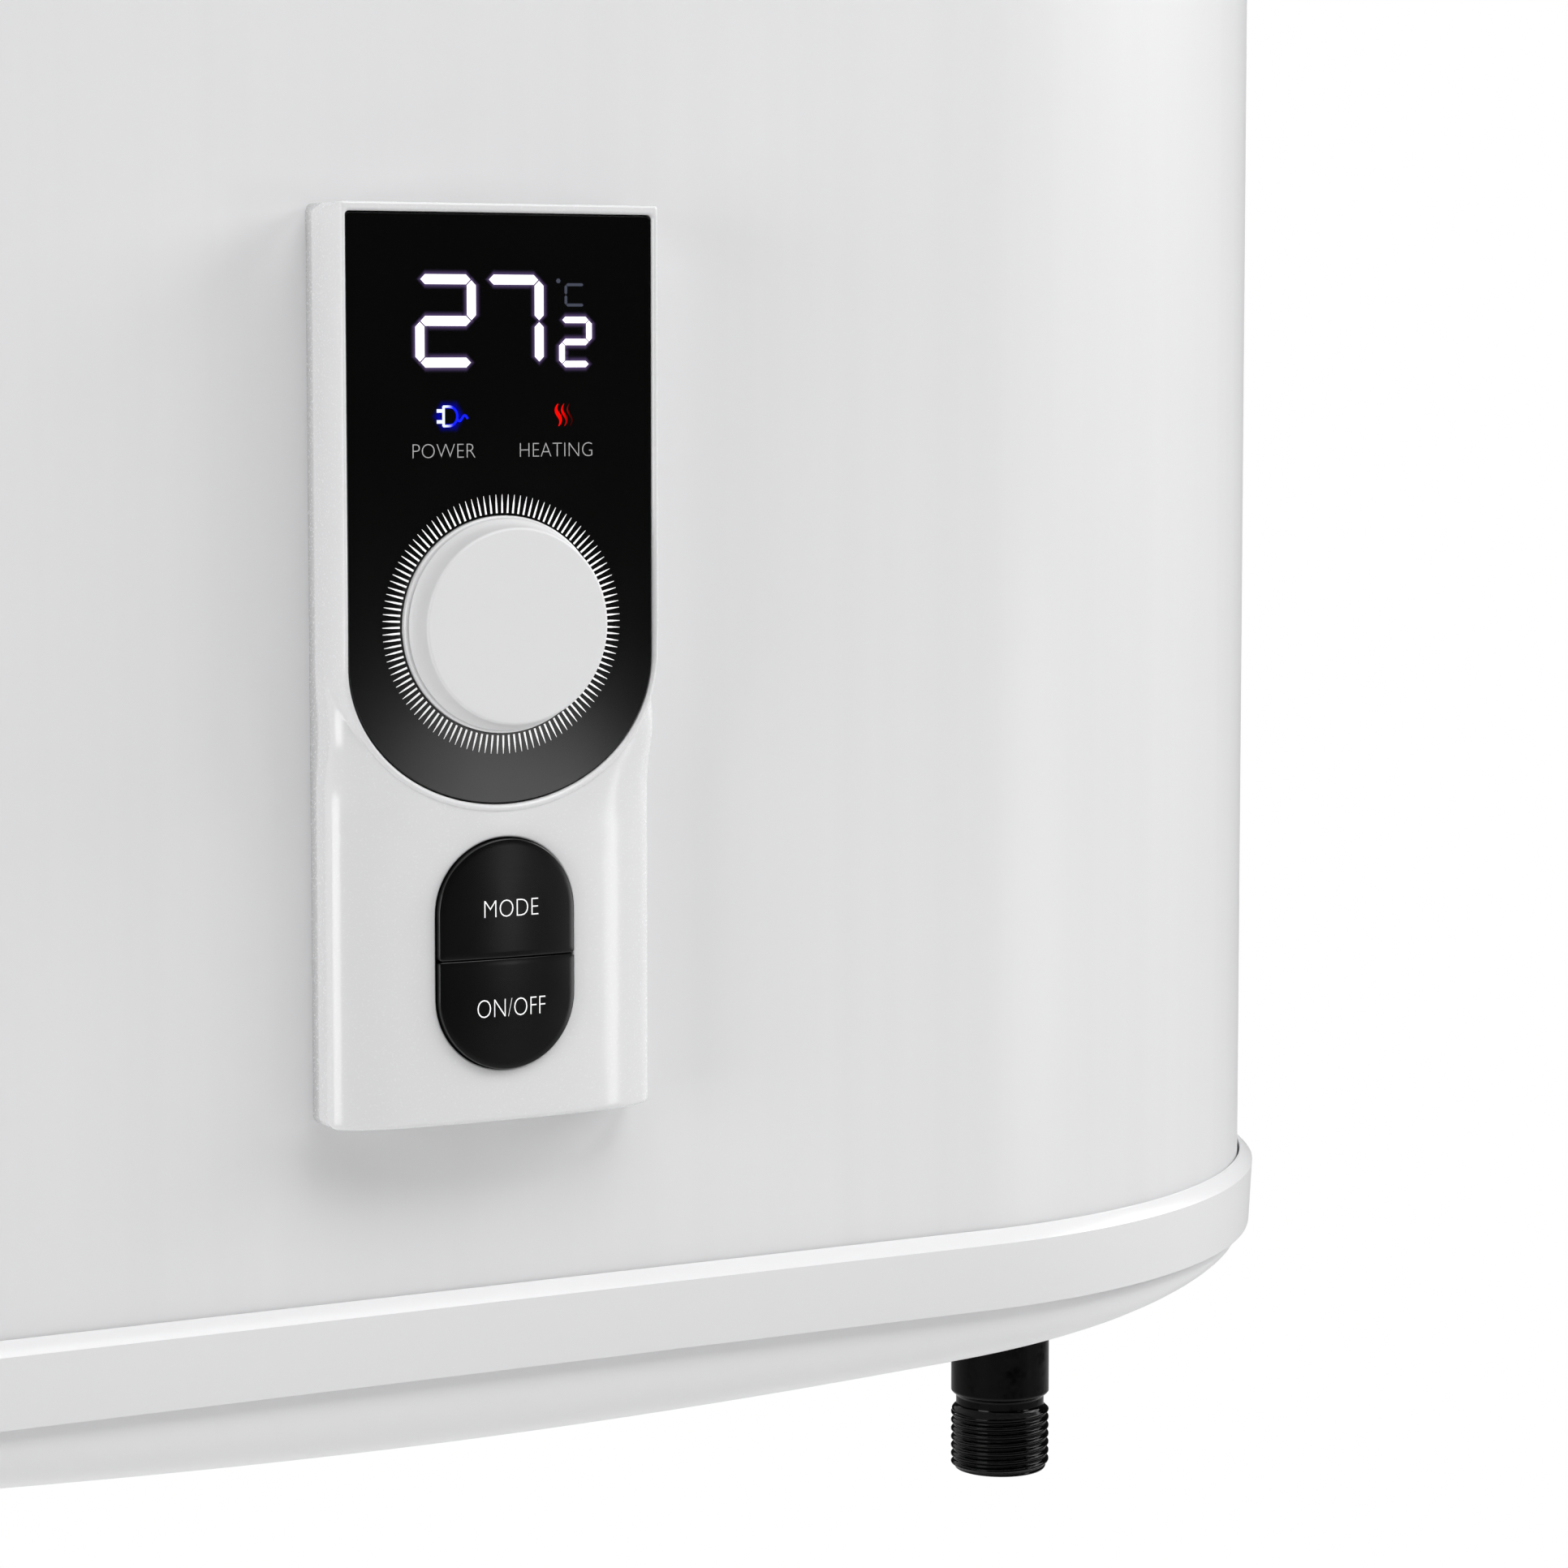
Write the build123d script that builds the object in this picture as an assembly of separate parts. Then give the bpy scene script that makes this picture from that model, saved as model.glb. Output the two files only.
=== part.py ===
"""Flat wall-hung electric tank water heater with two inner tanks. Millimetres, +Z up.

The origin is the middle of the upper wall bracket's slots, on the wall plane. The wall is the plane
Y = 0 and the casing's front faces -Y. While a piece is being made, Z counts from the lower edge of the
bottom cap's rim; write() then lowers everything by HANG, to the bracket's own height.
"""
from build123d import *
import math
import os

# ---------------------------------------------------------------- casing and caps
WIDTH = 436.0            # casing, side to side
DEPTH = 250.0            # casing, front to back
HEIGHT = 850.0           # from the bottom rim's lower edge to the top rim's upper edge
FRONT_R = 111.0          # corner radius in plan, front
REAR_R = 80.0            # corner radius in plan, rear
SHEET = 0.6              # casing sheet
STANDOFF = 12.0          # wall to the casing's back, taken up by the brackets
HANG = 690.0             # bottom rim up to the upper bracket's slots

RIM_H = 13.0             # height of a cap's band
RIM_LOW = 2.5            # how far the band stands out at the belly
RIM_HIGH = 3.2           # and at its other edge, where the bevel starts
BEVEL = 2.35             # 45 degree bevel from the band to the casing
CAP_WALL = 2.5           # plastic thickness
CAP_GAP = 0.5            # play between the casing and the cap that holds it
LEDGE = 3.0              # the casing sheet rests this far inside the rim
BELLY = 14.7             # depth of the domed underside below the rim, in the middle
BELLY_SIDE = 6.6         # and at the two sides
BELLY_ROLL = 6.5         # radius of the belly's rolled edge

SEAM_HALF = 123.0        # half the gap in the wrapped sheet that the back panel closes
SEAM_LAP = 13.0          # how far the back panel laps under the wrapped sheet
RIVET_R = 2.4
RIVET_PITCH = 120.0
CAP_SCREW_X = 95.0       # screws through each cap's rim at the back
CAP_SCREW_R = 2.0

# ---------------------------------------------------------------- tanks and water pipes
TANK_R = 95.0
TANK_X = 105.0           # tank axes, left and right of the middle
TANK_Y = 125.0           # tank axes behind the casing's front
TANK_LOW = 42.0          # lowest point of the tank's bottom head
TANK_TOP_GAP = 45.0      # tank top to the top rim's upper edge
CROWN_R = 150.0          # radius of the domed heads
KNUCKLE_R = 22.0         # and of the rounding between a head and the side
TANK_WALL = 1.2
FOAM_LOW = 34.0          # foam's underside
FOAM_TOP_GAP = 34.0      # foam's top to the top rim's upper edge
FOAM_PLAY = 1.0          # room in the foam round the pipes and wires

NIPPLE_EDGE = 23.6       # water connections, from a tank's side in to their axes
NIPPLE_TURN = 44.4       # and their bearing from the tank's axis, outwards and to the front, in degrees
NIPPLE_R = 11.0          # smooth part
NIPPLE_BORE = 7.5
THREAD_R = 10.478        # G1/2 thread, over the crests
THREAD_L = 13.3
NECK_R = 9.4             # run-out groove above the thread
NECK_L = 3.0
NIPPLE_LOW = 54.6        # thread's end below the rim
NIPPLE_HOLE_GAP = 0.7    # clearance round a nipple in the cap
DIFFUSER_L = 26.0        # slotted cap over the inlet inside the tank
DIFFUSER_WALL = 1.5

PIPE_R = 9.0
PIPE_WALL = 1.0
LINK_Z = 125.0           # cross pipe between the tanks
RISER_IN = 22.0          # transfer riser, from the right tank's side in to its axis
RISER_TOP_GAP = 30.0     # risers' open ends below the tank top

# ---------------------------------------------------------------- flanges, elements, anodes
NECK_TUBE_R = 33.0       # tank neck round the flange opening
NECK_TUBE_WALL = 3.0
FLANGE_R = 43.0
FLANGE_T = 3.5
GASKET_T = 2.0
NECK_FACE_Z = 24.0       # underside of the tank neck's ring
NECK_RING_T = 4.0
BOLT_PCD = 75.0
BOLT_COUNT = 6
BOLT_R = 3.0
BOLT_HEAD_R = 5.0
BOLT_HEAD_H = 4.0
HEATER_R = 4.0
HEATER_HALF = 12.0       # half the hairpin's width
HEATER_L = 300.0
HEATER_PIN_R = 1.6
HEATER_PIN_L = 9.0
ANODE_R = 8.0
ANODE_L = 190.0
ANODE_Y = -20.0          # from the flange's middle
POCKET_R = 4.5
POCKET_WALL = 1.0
POCKET_L = 220.0
POCKET_Y = 22.0
PROBE_GAP = 0.4          # probe in its pocket

CUTOUT_W = 26.0
CUTOUT_D = 26.0
CUTOUT_H = 22.0
RESET_R = 3.0
RESET_STICKS_OUT = 2.5
RESET_TRAVEL = 1.5
RESET_PLAY = 0.05        # running clearance of the reset pin

# ---------------------------------------------------------------- lower compartment
BOARD_W = 84.0
BOARD_D = 60.0
BOARD_T = 1.6
BOARD_Y = 150.0          # middle of the power board behind the casing's front
BOARD_Z = 2.0            # its underside above the rim
POST_R = 4.0
BOARD_SCREW_R = 1.5
BOARD_SCREW_HEAD = 2.8
RELAY = (19.0, 15.5, 15.0)
TERMINALS = (34.0, 14.0, 13.0)
GLAND_X = 0.0
GLAND_Y = 205.0
GLAND_R = 9.0
GLAND_BORE = 4.5
GLAND_LIP_R = 12.0
GLAND_LIP_T = 3.0
GLAND_IN = 10.0          # how far the gland reaches into the cap
LEAD_R = 1.5

# ---------------------------------------------------------------- wall brackets
BRACKET_W = 240.0
BRACKET_T = 2.5
WEB_HALF_H = 16.0        # half the height of the part against the wall
FLANGE_HALF_H = 34.0     # half the bracket's whole height
SLOT_SPACING = 178.0
SLOT_R = 5.5
SLOT_L = 26.0
STUD_Z = 26.0            # studs above and below the bracket's middle
STUD_X = 105.0
STUD_R = 4.0
NUT_R = 7.0
NUT_T = 4.5
LOWER_BRACKET = 540.0    # lower bracket's slots below the upper ones

# ---------------------------------------------------------------- control panel
PANEL_HALF = 31.3
PANEL_LOW = 48.0
PANEL_TOP = 210.3
SHOULDER_P = 6.5         # straight side wall, from the casing outwards
BEND_X = 24.0            # where the rounded shoulder meets the gently bowed front
BEND_P = 12.1
CROWN_P = 14.4           # most that the bowed front stands out
PANEL_WALL = 2.0
FRAME_P = 13.9           # raised frame round the window
FRAME_CHAMFER = 1.2
WINDOW_P = 13.2          # window's outer face
WINDOW_T = 2.0
WINDOW_HALF = 29.4
WINDOW_TOP = 208.7
WINDOW_GAP = 0.12
LEDGE_W = 2.0            # ledge that the window rests on
U_R = 31.2               # round lower end of the window
U_CENTRE = 135.8
CASING_HOLE_R = 8.0      # wires pass into the casing here
CASING_HOLE_Z = 70.0

KNOB_Z = 136.5
COLLAR_R = 19.2
COLLAR_INNER = 17.0
COLLAR_P = 14.3
COLLAR_GAP = 0.12        # collar in the window's hole
KNOB_BASE_R = 18.7
KNOB_FACE_R = 17.3
KNOB_BASE_P = 14.6
KNOB_FACE_P = 20.05
KNOB_EDGE = 0.8
KNOB_WALL = 2.0
SHAFT_R = 3.0
SHAFT_PLAY = 0.05        # running clearance of the shaft in its bush
BUSH_R = 3.5
ENCODER_W = 12.0
ENCODER_H = 4.5
WEB_T = 1.2              # collar's inner web that the bush passes through
NUT_ACROSS = 10.0
ENCODER_NUT_T = 1.6

KEY_HALF = 13.1
KEYS_LOW = 57.5
KEYS_TOP = 98.6
KEYS_SPLIT = 77.4
KEY_GAP = 0.3            # round the keys and between them
KEY_P = 16.0             # keys' outer face
KEY_BACK_P = 11.6
KEY_EDGE = 0.7
KEY_STEM_R = 2.4
KEY_TRAVEL = 0.5
SWITCH_W = 6.0
SWITCH_H = 3.5
PLUNGER_R = 1.7
PLUNGER_OUT = 0.8
PLUNGER_PLAY = 0.1

CONTROL_P = 2.6          # back of the control board above the casing
CONTROL_T = 1.6
BASE_T = 1.6             # panel's base plate
BASE_PLAY = 0.2          # base plate inside the panel housing
DIGITS_W = 40.0
DIGITS_LOW = 179.0
DIGITS_TOP = 201.0
ICON_X = 10.8
ICON_Z = 173.3
GUIDE_R = 3.2
GUIDE_WALL = 0.6
LED = (3.0, 1.5, 1.4)
PANEL_SCREW_R = 1.5
PANEL_SCREW_HEAD = 2.6
PANEL_SCREW_L = 6.0      # how far the screws reach into the casing
HARNESS_R = 2.5

# ---------------------------------------------------------------- places worked out from the sizes
Y_BACK = -STANDOFF
Y_FRONT = Y_BACK - DEPTH
TANK_AXIS_Y = Y_FRONT + TANK_Y
TANK_HIGH = HEIGHT - TANK_TOP_GAP
HEAD_H = CROWN_R - math.sqrt(CROWN_R**2 - TANK_R**2)
NIPPLE_REACH = TANK_R - NIPPLE_EDGE
NIPPLE_X = TANK_X + NIPPLE_REACH * math.cos(math.radians(NIPPLE_TURN))
NIPPLE_Y = TANK_Y - NIPPLE_REACH * math.sin(math.radians(NIPPLE_TURN))   # behind the casing's front
RISER_X = TANK_X - TANK_R + RISER_IN
NIPPLE_TOP = TANK_LOW + HEAD_H + 4.0
BOARD_FRONT_P = CONTROL_P + CONTROL_T
FLANGE_TOP = NECK_FACE_Z - GASKET_T
FLANGE_LOW = FLANGE_TOP - FLANGE_T
ENCODER_P = BOARD_FRONT_P + ENCODER_H


# ---------------------------------------------------------------- helpers
def write(name, shape):
    """Save one node, lowered so that the upper bracket's slots are at Z = 0."""
    solids = shape.solids()
    whole = Compound(children=[Pos(0, 0, -HANG) * s for s in solids]) if len(solids) > 1 else (
        Pos(0, 0, -HANG) * solids[0])
    export_step(whole, f"parts/{name}.step")


def outline(grow=0.0):
    """Plan of the casing, grown outwards: flat front and back, large front corners, smaller rear ones."""
    half = WIDTH / 2 + grow
    front, back = Y_FRONT - grow, Y_BACK + grow
    plan = make_face(Polyline((-half, front), (half, front), (half, back), (-half, back), close=True))
    plan = fillet(plan.vertices().group_by(Axis.Y)[0], FRONT_R + grow)
    return fillet(plan.vertices().group_by(Axis.Y)[-1].filter_by(lambda v: abs(v.Y - back) < 0.01),
                  REAR_R + grow)


def prism(plan, low, high):
    """A plan carried straight up from one height to another."""
    return extrude(Pos(0, 0, low) * plan, amount=high - low, dir=(0, 0, 1))


def taper(low_plan, low, high_plan, high):
    """A ruled band between two plans at two heights."""
    return loft([(Pos(0, 0, low) * low_plan).face(), (Pos(0, 0, high) * high_plan).face()], ruled=True)


def rod(x, y, low, high, radius):
    """Upright cylinder between two heights."""
    return Pos(x, y, low) * Cylinder(radius, high - low, align=(Align.CENTER, Align.CENTER, Align.MIN))


def tube(x, y, low, high, outer, inner):
    """Upright tube between two heights."""
    return rod(x, y, low, high, outer) - rod(x, y, low - 1, high + 1, inner)


def front_plane(p):
    """Plane parallel to the casing's front, p outwards from it; its own axes are X and Z."""
    return Plane(origin=(0, Y_FRONT - p, 0), x_dir=(1, 0, 0), z_dir=(0, -1, 0))


def slab(sketch, p_low, p_high):
    """A sketch in X and Z, carried outwards from the casing's front."""
    return extrude(front_plane(p_low) * sketch, amount=p_high - p_low, dir=(0, -1, 0))


def disc(x, z, radius, p_low, p_high):
    """Cylinder that points straight out of the casing's front."""
    return slab(Pos(x, z) * Circle(radius), p_low, p_high)


def brick(x_low, x_high, y_low, y_high, z_low, z_high):
    """Block given by its six limits."""
    size = (x_high - x_low, y_high - y_low, z_high - z_low)
    return Pos(x_low, y_low, z_low) * Box(*size, align=(Align.MIN, Align.MIN, Align.MIN))


def wire_tube(points, radii, radius):
    """Round wire along straight runs joined by tangent arcs."""
    path = FilletPolyline(*points, radius=radii)
    start = Plane(origin=path @ 0, z_dir=path % 0)
    return sweep(start * Circle(radius), path=path)


def both_sides(make):
    """The same piece for the left and the right tank, as (side name, x sign, shape)."""
    return [(name, sign, make(sign)) for name, sign in (("left", -1), ("right", 1))]


# ---------------------------------------------------------------- casing
def casing_hole():
    """Round hole in the casing's front, behind the panel, for the wires."""
    return disc(0, CASING_HOLE_Z, CASING_HOLE_R, -3 * SHEET, 2)


def stud_places(bracket_z):
    """Centres of the four studs of one bracket."""
    return [(sx * STUD_X, bracket_z + sz * STUD_Z) for sx in (-1, 1) for sz in (-1, 1)]


BRACKET_HEIGHTS = (HANG, HANG - LOWER_BRACKET)


def behind(x, z, radius, y_low, y_high):
    """Cylinder along Y, used for what points at the wall."""
    plane = Plane(origin=(x, y_low, z), x_dir=(1, 0, 0), z_dir=(0, 1, 0))
    return extrude(plane * Circle(radius), amount=y_high - y_low, dir=(0, 1, 0))


def casing_pieces():
    low, high = LEDGE, HEIGHT - LEDGE
    shell = prism(outline(), low, high) - prism(outline(-SHEET), low - 1, high + 1)
    gap = brick(-SEAM_HALF, SEAM_HALF, Y_BACK - 2 * SHEET, Y_BACK + 1, low - 1, high + 1)
    wrap = shell - gap - casing_hole()
    for x, z in panel_screw_places():
        wrap -= disc(x, z, PANEL_SCREW_R, -2, 1)
    lap = SEAM_HALF + SEAM_LAP
    panel = brick(-lap, lap, Y_BACK - 2 * SHEET, Y_BACK - SHEET, low, high)
    panel += brick(-SEAM_HALF + 0.4, SEAM_HALF - 0.4, Y_BACK - SHEET, Y_BACK, low, high)
    rivets = []
    count = int((high - low - 60) // RIVET_PITCH) + 1
    first = (low + high) / 2 - (count - 1) * RIVET_PITCH / 2
    for side in (-1, 1):
        for i in range(count):
            x, z = side * (SEAM_HALF + SEAM_LAP / 2), first + i * RIVET_PITCH
            hole = behind(x, z, RIVET_R / 1.6, Y_BACK - 2 * SHEET - 1, Y_BACK + 1)
            wrap -= hole
            panel -= hole
            head = behind(x, z, RIVET_R, Y_BACK, Y_BACK + 0.9)
            shank = behind(x, z, RIVET_R / 1.6, Y_BACK - 2 * SHEET, Y_BACK)
            rivets.append(head + shank)
    for bracket_z in BRACKET_HEIGHTS:
        for x, z in stud_places(bracket_z):
            hole = behind(x, z, STUD_R + 0.3, Y_BACK - 2 * SHEET - 1, Y_BACK + 1)
            wrap -= hole
            panel -= hole
    for screw in cap_screws():
        wrap -= screw
        panel -= screw
    write("casing_wrap", wrap)
    write("back_panel", panel)
    write("seam_rivets", Compound(children=[r.solid() for r in rivets]))


# ---------------------------------------------------------------- caps
def belly(inset, drop_less, roll):
    """Domed end of a cap, pointing down: the casing's plan cut by a wide arc, with a rolled edge."""
    half = WIDTH / 2 + 1
    middle, side = -BELLY + drop_less, -BELLY_SIDE + drop_less
    edge = ThreePointArc((-half, side), (0, middle), (half, side))
    under = make_face(edge + Polyline((half, side), (half, RIM_H / 2), (-half, RIM_H / 2), (-half, side)))
    long_plane = Plane(origin=(0, Y_BACK + 5, 0), x_dir=(1, 0, 0), z_dir=(0, -1, 0))
    curve = extrude(long_plane * under, amount=DEPTH + 10, dir=(0, -1, 0))
    block = prism(outline(-inset), -BELLY - 1, RIM_H / 2) & curve
    low_face = block.faces().filter_by(lambda f: f.normal_at().Z < -0.5)
    return fillet(low_face.edges(), roll)


def screw_places():
    """Screws through a cap's rim at the back, left and right of the middle."""
    return [(-CAP_SCREW_X, RIM_H / 2 + 1), (CAP_SCREW_X, RIM_H / 2 + 1)]


def plain_cap():
    """A cap pointing down: band, bevel, ledge for the casing and hollow belly."""
    band = taper(outline(RIM_LOW), 0, outline(RIM_HIGH), RIM_H)
    bevel = taper(outline(RIM_HIGH), RIM_H, outline(RIM_HIGH - BEVEL), RIM_H + BEVEL)
    cap = band + bevel + belly(0, 0, BELLY_ROLL)
    cap -= prism(outline(CAP_GAP), LEDGE, RIM_H + BEVEL + 1)
    cap -= prism(outline(-CAP_WALL), RIM_H / 4, LEDGE + 1)
    cap -= belly(CAP_WALL, CAP_WALL, BELLY_ROLL - CAP_WALL)
    for x, z in screw_places():
        cap -= behind(x, z, CAP_SCREW_R, Y_BACK - 1, Y_BACK + 10)
    return cap


def cap_screws():
    """Pan-head screws that hold both caps to the casing's back."""
    screws = []
    for flip in (False, True):
        for x, z in screw_places():
            height = HEIGHT - z if flip else z
            head_y = Y_BACK + RIM_HIGH
            head = behind(x, height, 2 * CAP_SCREW_R, head_y, head_y + 2)
            screws.append(head + behind(x, height, CAP_SCREW_R, Y_BACK - 2 * SHEET - 4, head_y))
    return screws


def board_posts():
    """Centres of the posts that carry the power board."""
    dx, dy = BOARD_W / 2 - 5, BOARD_D / 2 - 5
    return [(sx * dx, Y_FRONT + BOARD_Y + sy * dy) for sx in (-1, 1) for sy in (-1, 1)]


def cap_pieces():
    bottom = plain_cap()
    for x, y in board_posts():
        bottom += rod(x, y, -BELLY + CAP_WALL + 0.3 - 2.2, BOARD_Z, POST_R)
    for side in (-1, 1):
        bottom -= rod(side * NIPPLE_X, Y_FRONT + NIPPLE_Y, -BELLY - 5, RIM_H, NIPPLE_R + NIPPLE_HOLE_GAP)
    bottom -= rod(GLAND_X, Y_FRONT + GLAND_Y, -BELLY - 5, RIM_H, GLAND_R)
    for x, y in board_posts():
        bottom -= rod(x, y, BOARD_Z - 6, BOARD_Z + 1, BOARD_SCREW_R)
    top = Pos(0, 0, HEIGHT) * mirror(plain_cap(), about=Plane.XY)
    write("bottom_cap", bottom)
    write("top_cap", top)
    write("cap_screws", Compound(children=[s.solid() for s in cap_screws()]))


# ---------------------------------------------------------------- tanks
def tank_form(inset):
    """Cylinder with domed heads, as a solid of revolution on the Z axis; inset moves the skin inwards."""
    radius, dome = TANK_R - inset, CROWN_R - inset
    sag = math.sqrt(dome**2 - radius**2)
    sag_mid = math.sqrt(dome**2 - (radius / 2)**2)
    low_centre, high_centre = TANK_LOW + CROWN_R, TANK_HIGH - CROWN_R
    lower = ThreePointArc((0, low_centre - dome), (radius / 2, low_centre - sag_mid),
                          (radius, low_centre - sag))
    upper = ThreePointArc((radius, high_centre + sag), (radius / 2, high_centre + sag_mid),
                          (0, high_centre + dome))
    side = Line((radius, low_centre - sag), (radius, high_centre + sag))
    axis = Line((0, high_centre + dome), (0, low_centre - dome))
    section = make_face(lower + side + upper + axis)
    section = fillet(section.vertices().group_by(Axis.X)[-1], KNUCKLE_R - inset)
    return revolve(Plane.XZ * section, axis=Axis.Z)


def neck_ring(extra=0.0):
    """Tube and ring welded to a tank's bottom head, round the flange opening; on the Z axis."""
    ring = rod(0, 0, NECK_FACE_Z, NECK_FACE_Z + NECK_RING_T, FLANGE_R + extra)
    return ring + rod(0, 0, NECK_FACE_Z, TANK_LOW + HEAD_H / 2, NECK_TUBE_R + extra)


def bolt_places():
    """Bolt centres on the flange, with none in line with the cut-out."""
    radius = BOLT_PCD / 2
    turns = [2 * math.pi * i / BOLT_COUNT for i in range(BOLT_COUNT)]
    return [(radius * math.cos(turn), radius * math.sin(turn)) for turn in turns]


def at_tank(sign, shape):
    """Move a piece made on the Z axis to one tank's axis."""
    return Pos(sign * TANK_X, TANK_AXIS_Y, 0) * shape


def tank(sign):
    form = tank_form(0) + neck_ring()
    form -= tank_form(TANK_WALL)
    form -= rod(0, 0, NECK_FACE_Z - 1, TANK_LOW + HEAD_H, NECK_TUBE_R - NECK_TUBE_WALL)
    for x, y in bolt_places():
        form -= rod(x, y, NECK_FACE_Z - 1, NECK_FACE_Z + NECK_RING_T + 1, BOLT_R)
    form = at_tank(sign, form)
    form -= rod(sign * NIPPLE_X, Y_FRONT + NIPPLE_Y, TANK_LOW - 5, NIPPLE_TOP, NIPPLE_R)
    return form - link_hole()


def link_hole():
    """The cross pipe's outer form, as the hole it needs."""
    plane = Plane(origin=(-TANK_X, TANK_AXIS_Y, LINK_Z), x_dir=(0, 1, 0), z_dir=(1, 0, 0))
    return extrude(plane * Circle(PIPE_R), amount=2 * TANK_X, dir=(1, 0, 0))


def cross_pipe(x_low, x_high):
    plane = Plane(origin=(x_low, TANK_AXIS_Y, LINK_Z), x_dir=(0, 1, 0), z_dir=(1, 0, 0))
    ring = Circle(PIPE_R) - Circle(PIPE_R - PIPE_WALL)
    return extrude(plane * ring, amount=x_high - x_low, dir=(1, 0, 0))


def bracket_studs():
    """Threaded studs welded to the backs of both tanks."""
    studs = []
    for bracket_z in BRACKET_HEIGHTS:
        for x, z in stud_places(bracket_z):
            tank_back = TANK_AXIS_Y + math.sqrt(TANK_R**2 - (abs(x) - TANK_X)**2)
            studs.append(behind(x, z, STUD_R, tank_back - TANK_WALL / 2, -1.0))
    return studs


def nipple(sign):
    """Water connection: smooth tube, run-out groove and thread, with a through bore."""
    x, y = sign * NIPPLE_X, Y_FRONT + NIPPLE_Y
    thread_top = -NIPPLE_LOW + THREAD_L
    neck_top = thread_top + NECK_L
    body = rod(x, y, neck_top, NIPPLE_TOP, NIPPLE_R)
    body += rod(x, y, thread_top, neck_top, NECK_R)
    body += chamfer(rod(x, y, -NIPPLE_LOW, thread_top, THREAD_R).edges().group_by(Axis.Z)[0], 0.8)
    return body - rod(x, y, -NIPPLE_LOW - 1, NIPPLE_TOP + 1, NIPPLE_BORE)


def water_pieces():
    studs = bracket_studs()
    for name, sign, body in both_sides(tank):
        for stud in studs:
            body -= stud
        write(f"{name}_tank", body)
    write("bracket_studs", Compound(children=[s.solid() for s in studs]))
    half_link = TANK_X - TANK_R + 4
    write("link_pipe", cross_pipe(-half_link, half_link))
    riser_top = TANK_HIGH - RISER_TOP_GAP
    path = FilletPolyline((half_link, TANK_AXIS_Y, LINK_Z), (RISER_X, TANK_AXIS_Y, LINK_Z),
                          (RISER_X, TANK_AXIS_Y, riser_top), radius=RISER_X - half_link - 2)
    start = Plane(origin=path @ 0, z_dir=path % 0)
    write("transfer_riser", sweep(start * Circle(PIPE_R), path=path)
          - sweep(start * Circle(PIPE_R - PIPE_WALL), path=path))
    write("cold_nipple", nipple(1))
    write("hot_nipple", nipple(-1))
    riser_bore = NIPPLE_BORE + PIPE_WALL
    write("hot_riser", tube(-NIPPLE_X, Y_FRONT + NIPPLE_Y, NIPPLE_TOP, riser_top, riser_bore, NIPPLE_BORE))
    x, y = NIPPLE_X, Y_FRONT + NIPPLE_Y
    diffuser = rod(x, y, NIPPLE_TOP, NIPPLE_TOP + DIFFUSER_L, NIPPLE_R)
    diffuser -= rod(x, y, NIPPLE_TOP - 1, NIPPLE_TOP + DIFFUSER_L - 2, NIPPLE_R - DIFFUSER_WALL)
    for turn in (0, 90):
        slot = Pos(x, y, NIPPLE_TOP + 14) * Rot(0, 0, turn) * Box(2 * NIPPLE_R + 2, 5, 10)
        diffuser -= slot
    write("inlet_diffuser", diffuser)


# ---------------------------------------------------------------- flanges and what they carry
def flange(sign):
    plate = rod(0, 0, FLANGE_LOW, FLANGE_TOP, FLANGE_R)
    for x, y in bolt_places():
        plate -= rod(x, y, FLANGE_LOW - 1, FLANGE_TOP + 1, BOLT_R)
    for x in (-HEATER_HALF, HEATER_HALF):
        plate -= rod(x, 0, FLANGE_LOW - 1, FLANGE_TOP + 1, HEATER_R)
    plate -= rod(0, POCKET_Y, FLANGE_LOW - 1, FLANGE_TOP + 1, POCKET_R)
    plate -= rod(0, ANODE_Y, FLANGE_LOW - 1, FLANGE_TOP + 1, BOLT_R)
    return at_tank(sign, plate)


def gasket(sign):
    ring = tube(0, 0, FLANGE_TOP, NECK_FACE_Z, FLANGE_R, NECK_TUBE_R - NECK_TUBE_WALL)
    for x, y in bolt_places():
        ring -= rod(x, y, FLANGE_TOP - 1, NECK_FACE_Z + 1, BOLT_R)
    return at_tank(sign, ring)


def heater(sign):
    """Hairpin heating element with a terminal pin below each leg."""
    low, high = FLANGE_LOW - 2, FLANGE_TOP + HEATER_L
    left, right = (-HEATER_HALF, 0, low), (HEATER_HALF, 0, low)
    legs = Line(left, (-HEATER_HALF, 0, high)) + ThreePointArc(
        (-HEATER_HALF, 0, high), (0, 0, high + HEATER_HALF), (HEATER_HALF, 0, high)) + Line(
        (HEATER_HALF, 0, high), right)
    body = sweep(Plane(origin=left, z_dir=(0, 0, 1)) * Circle(HEATER_R), path=legs)
    for x in (-HEATER_HALF, HEATER_HALF):
        body += rod(x, 0, low - HEATER_PIN_L, low, HEATER_PIN_R)
    return at_tank(sign, body)


def anode(sign):
    """Magnesium rod on a stud that passes through the flange, with its nut."""
    body = rod(0, ANODE_Y, FLANGE_TOP, FLANGE_TOP + ANODE_L, ANODE_R)
    body += rod(0, ANODE_Y, FLANGE_LOW - 7, FLANGE_TOP, BOLT_R)
    nut = extrude(Pos(0, ANODE_Y, FLANGE_LOW - 5) * RegularPolygon(5.5, 6), amount=5, dir=(0, 0, 1))
    return at_tank(sign, body + nut)


def sensor_pocket(sign):
    top = FLANGE_TOP + POCKET_L
    body = rod(0, POCKET_Y, FLANGE_LOW, top, POCKET_R)
    return at_tank(sign, body - rod(0, POCKET_Y, FLANGE_LOW - 1, top - 2, POCKET_R - POCKET_WALL))


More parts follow.
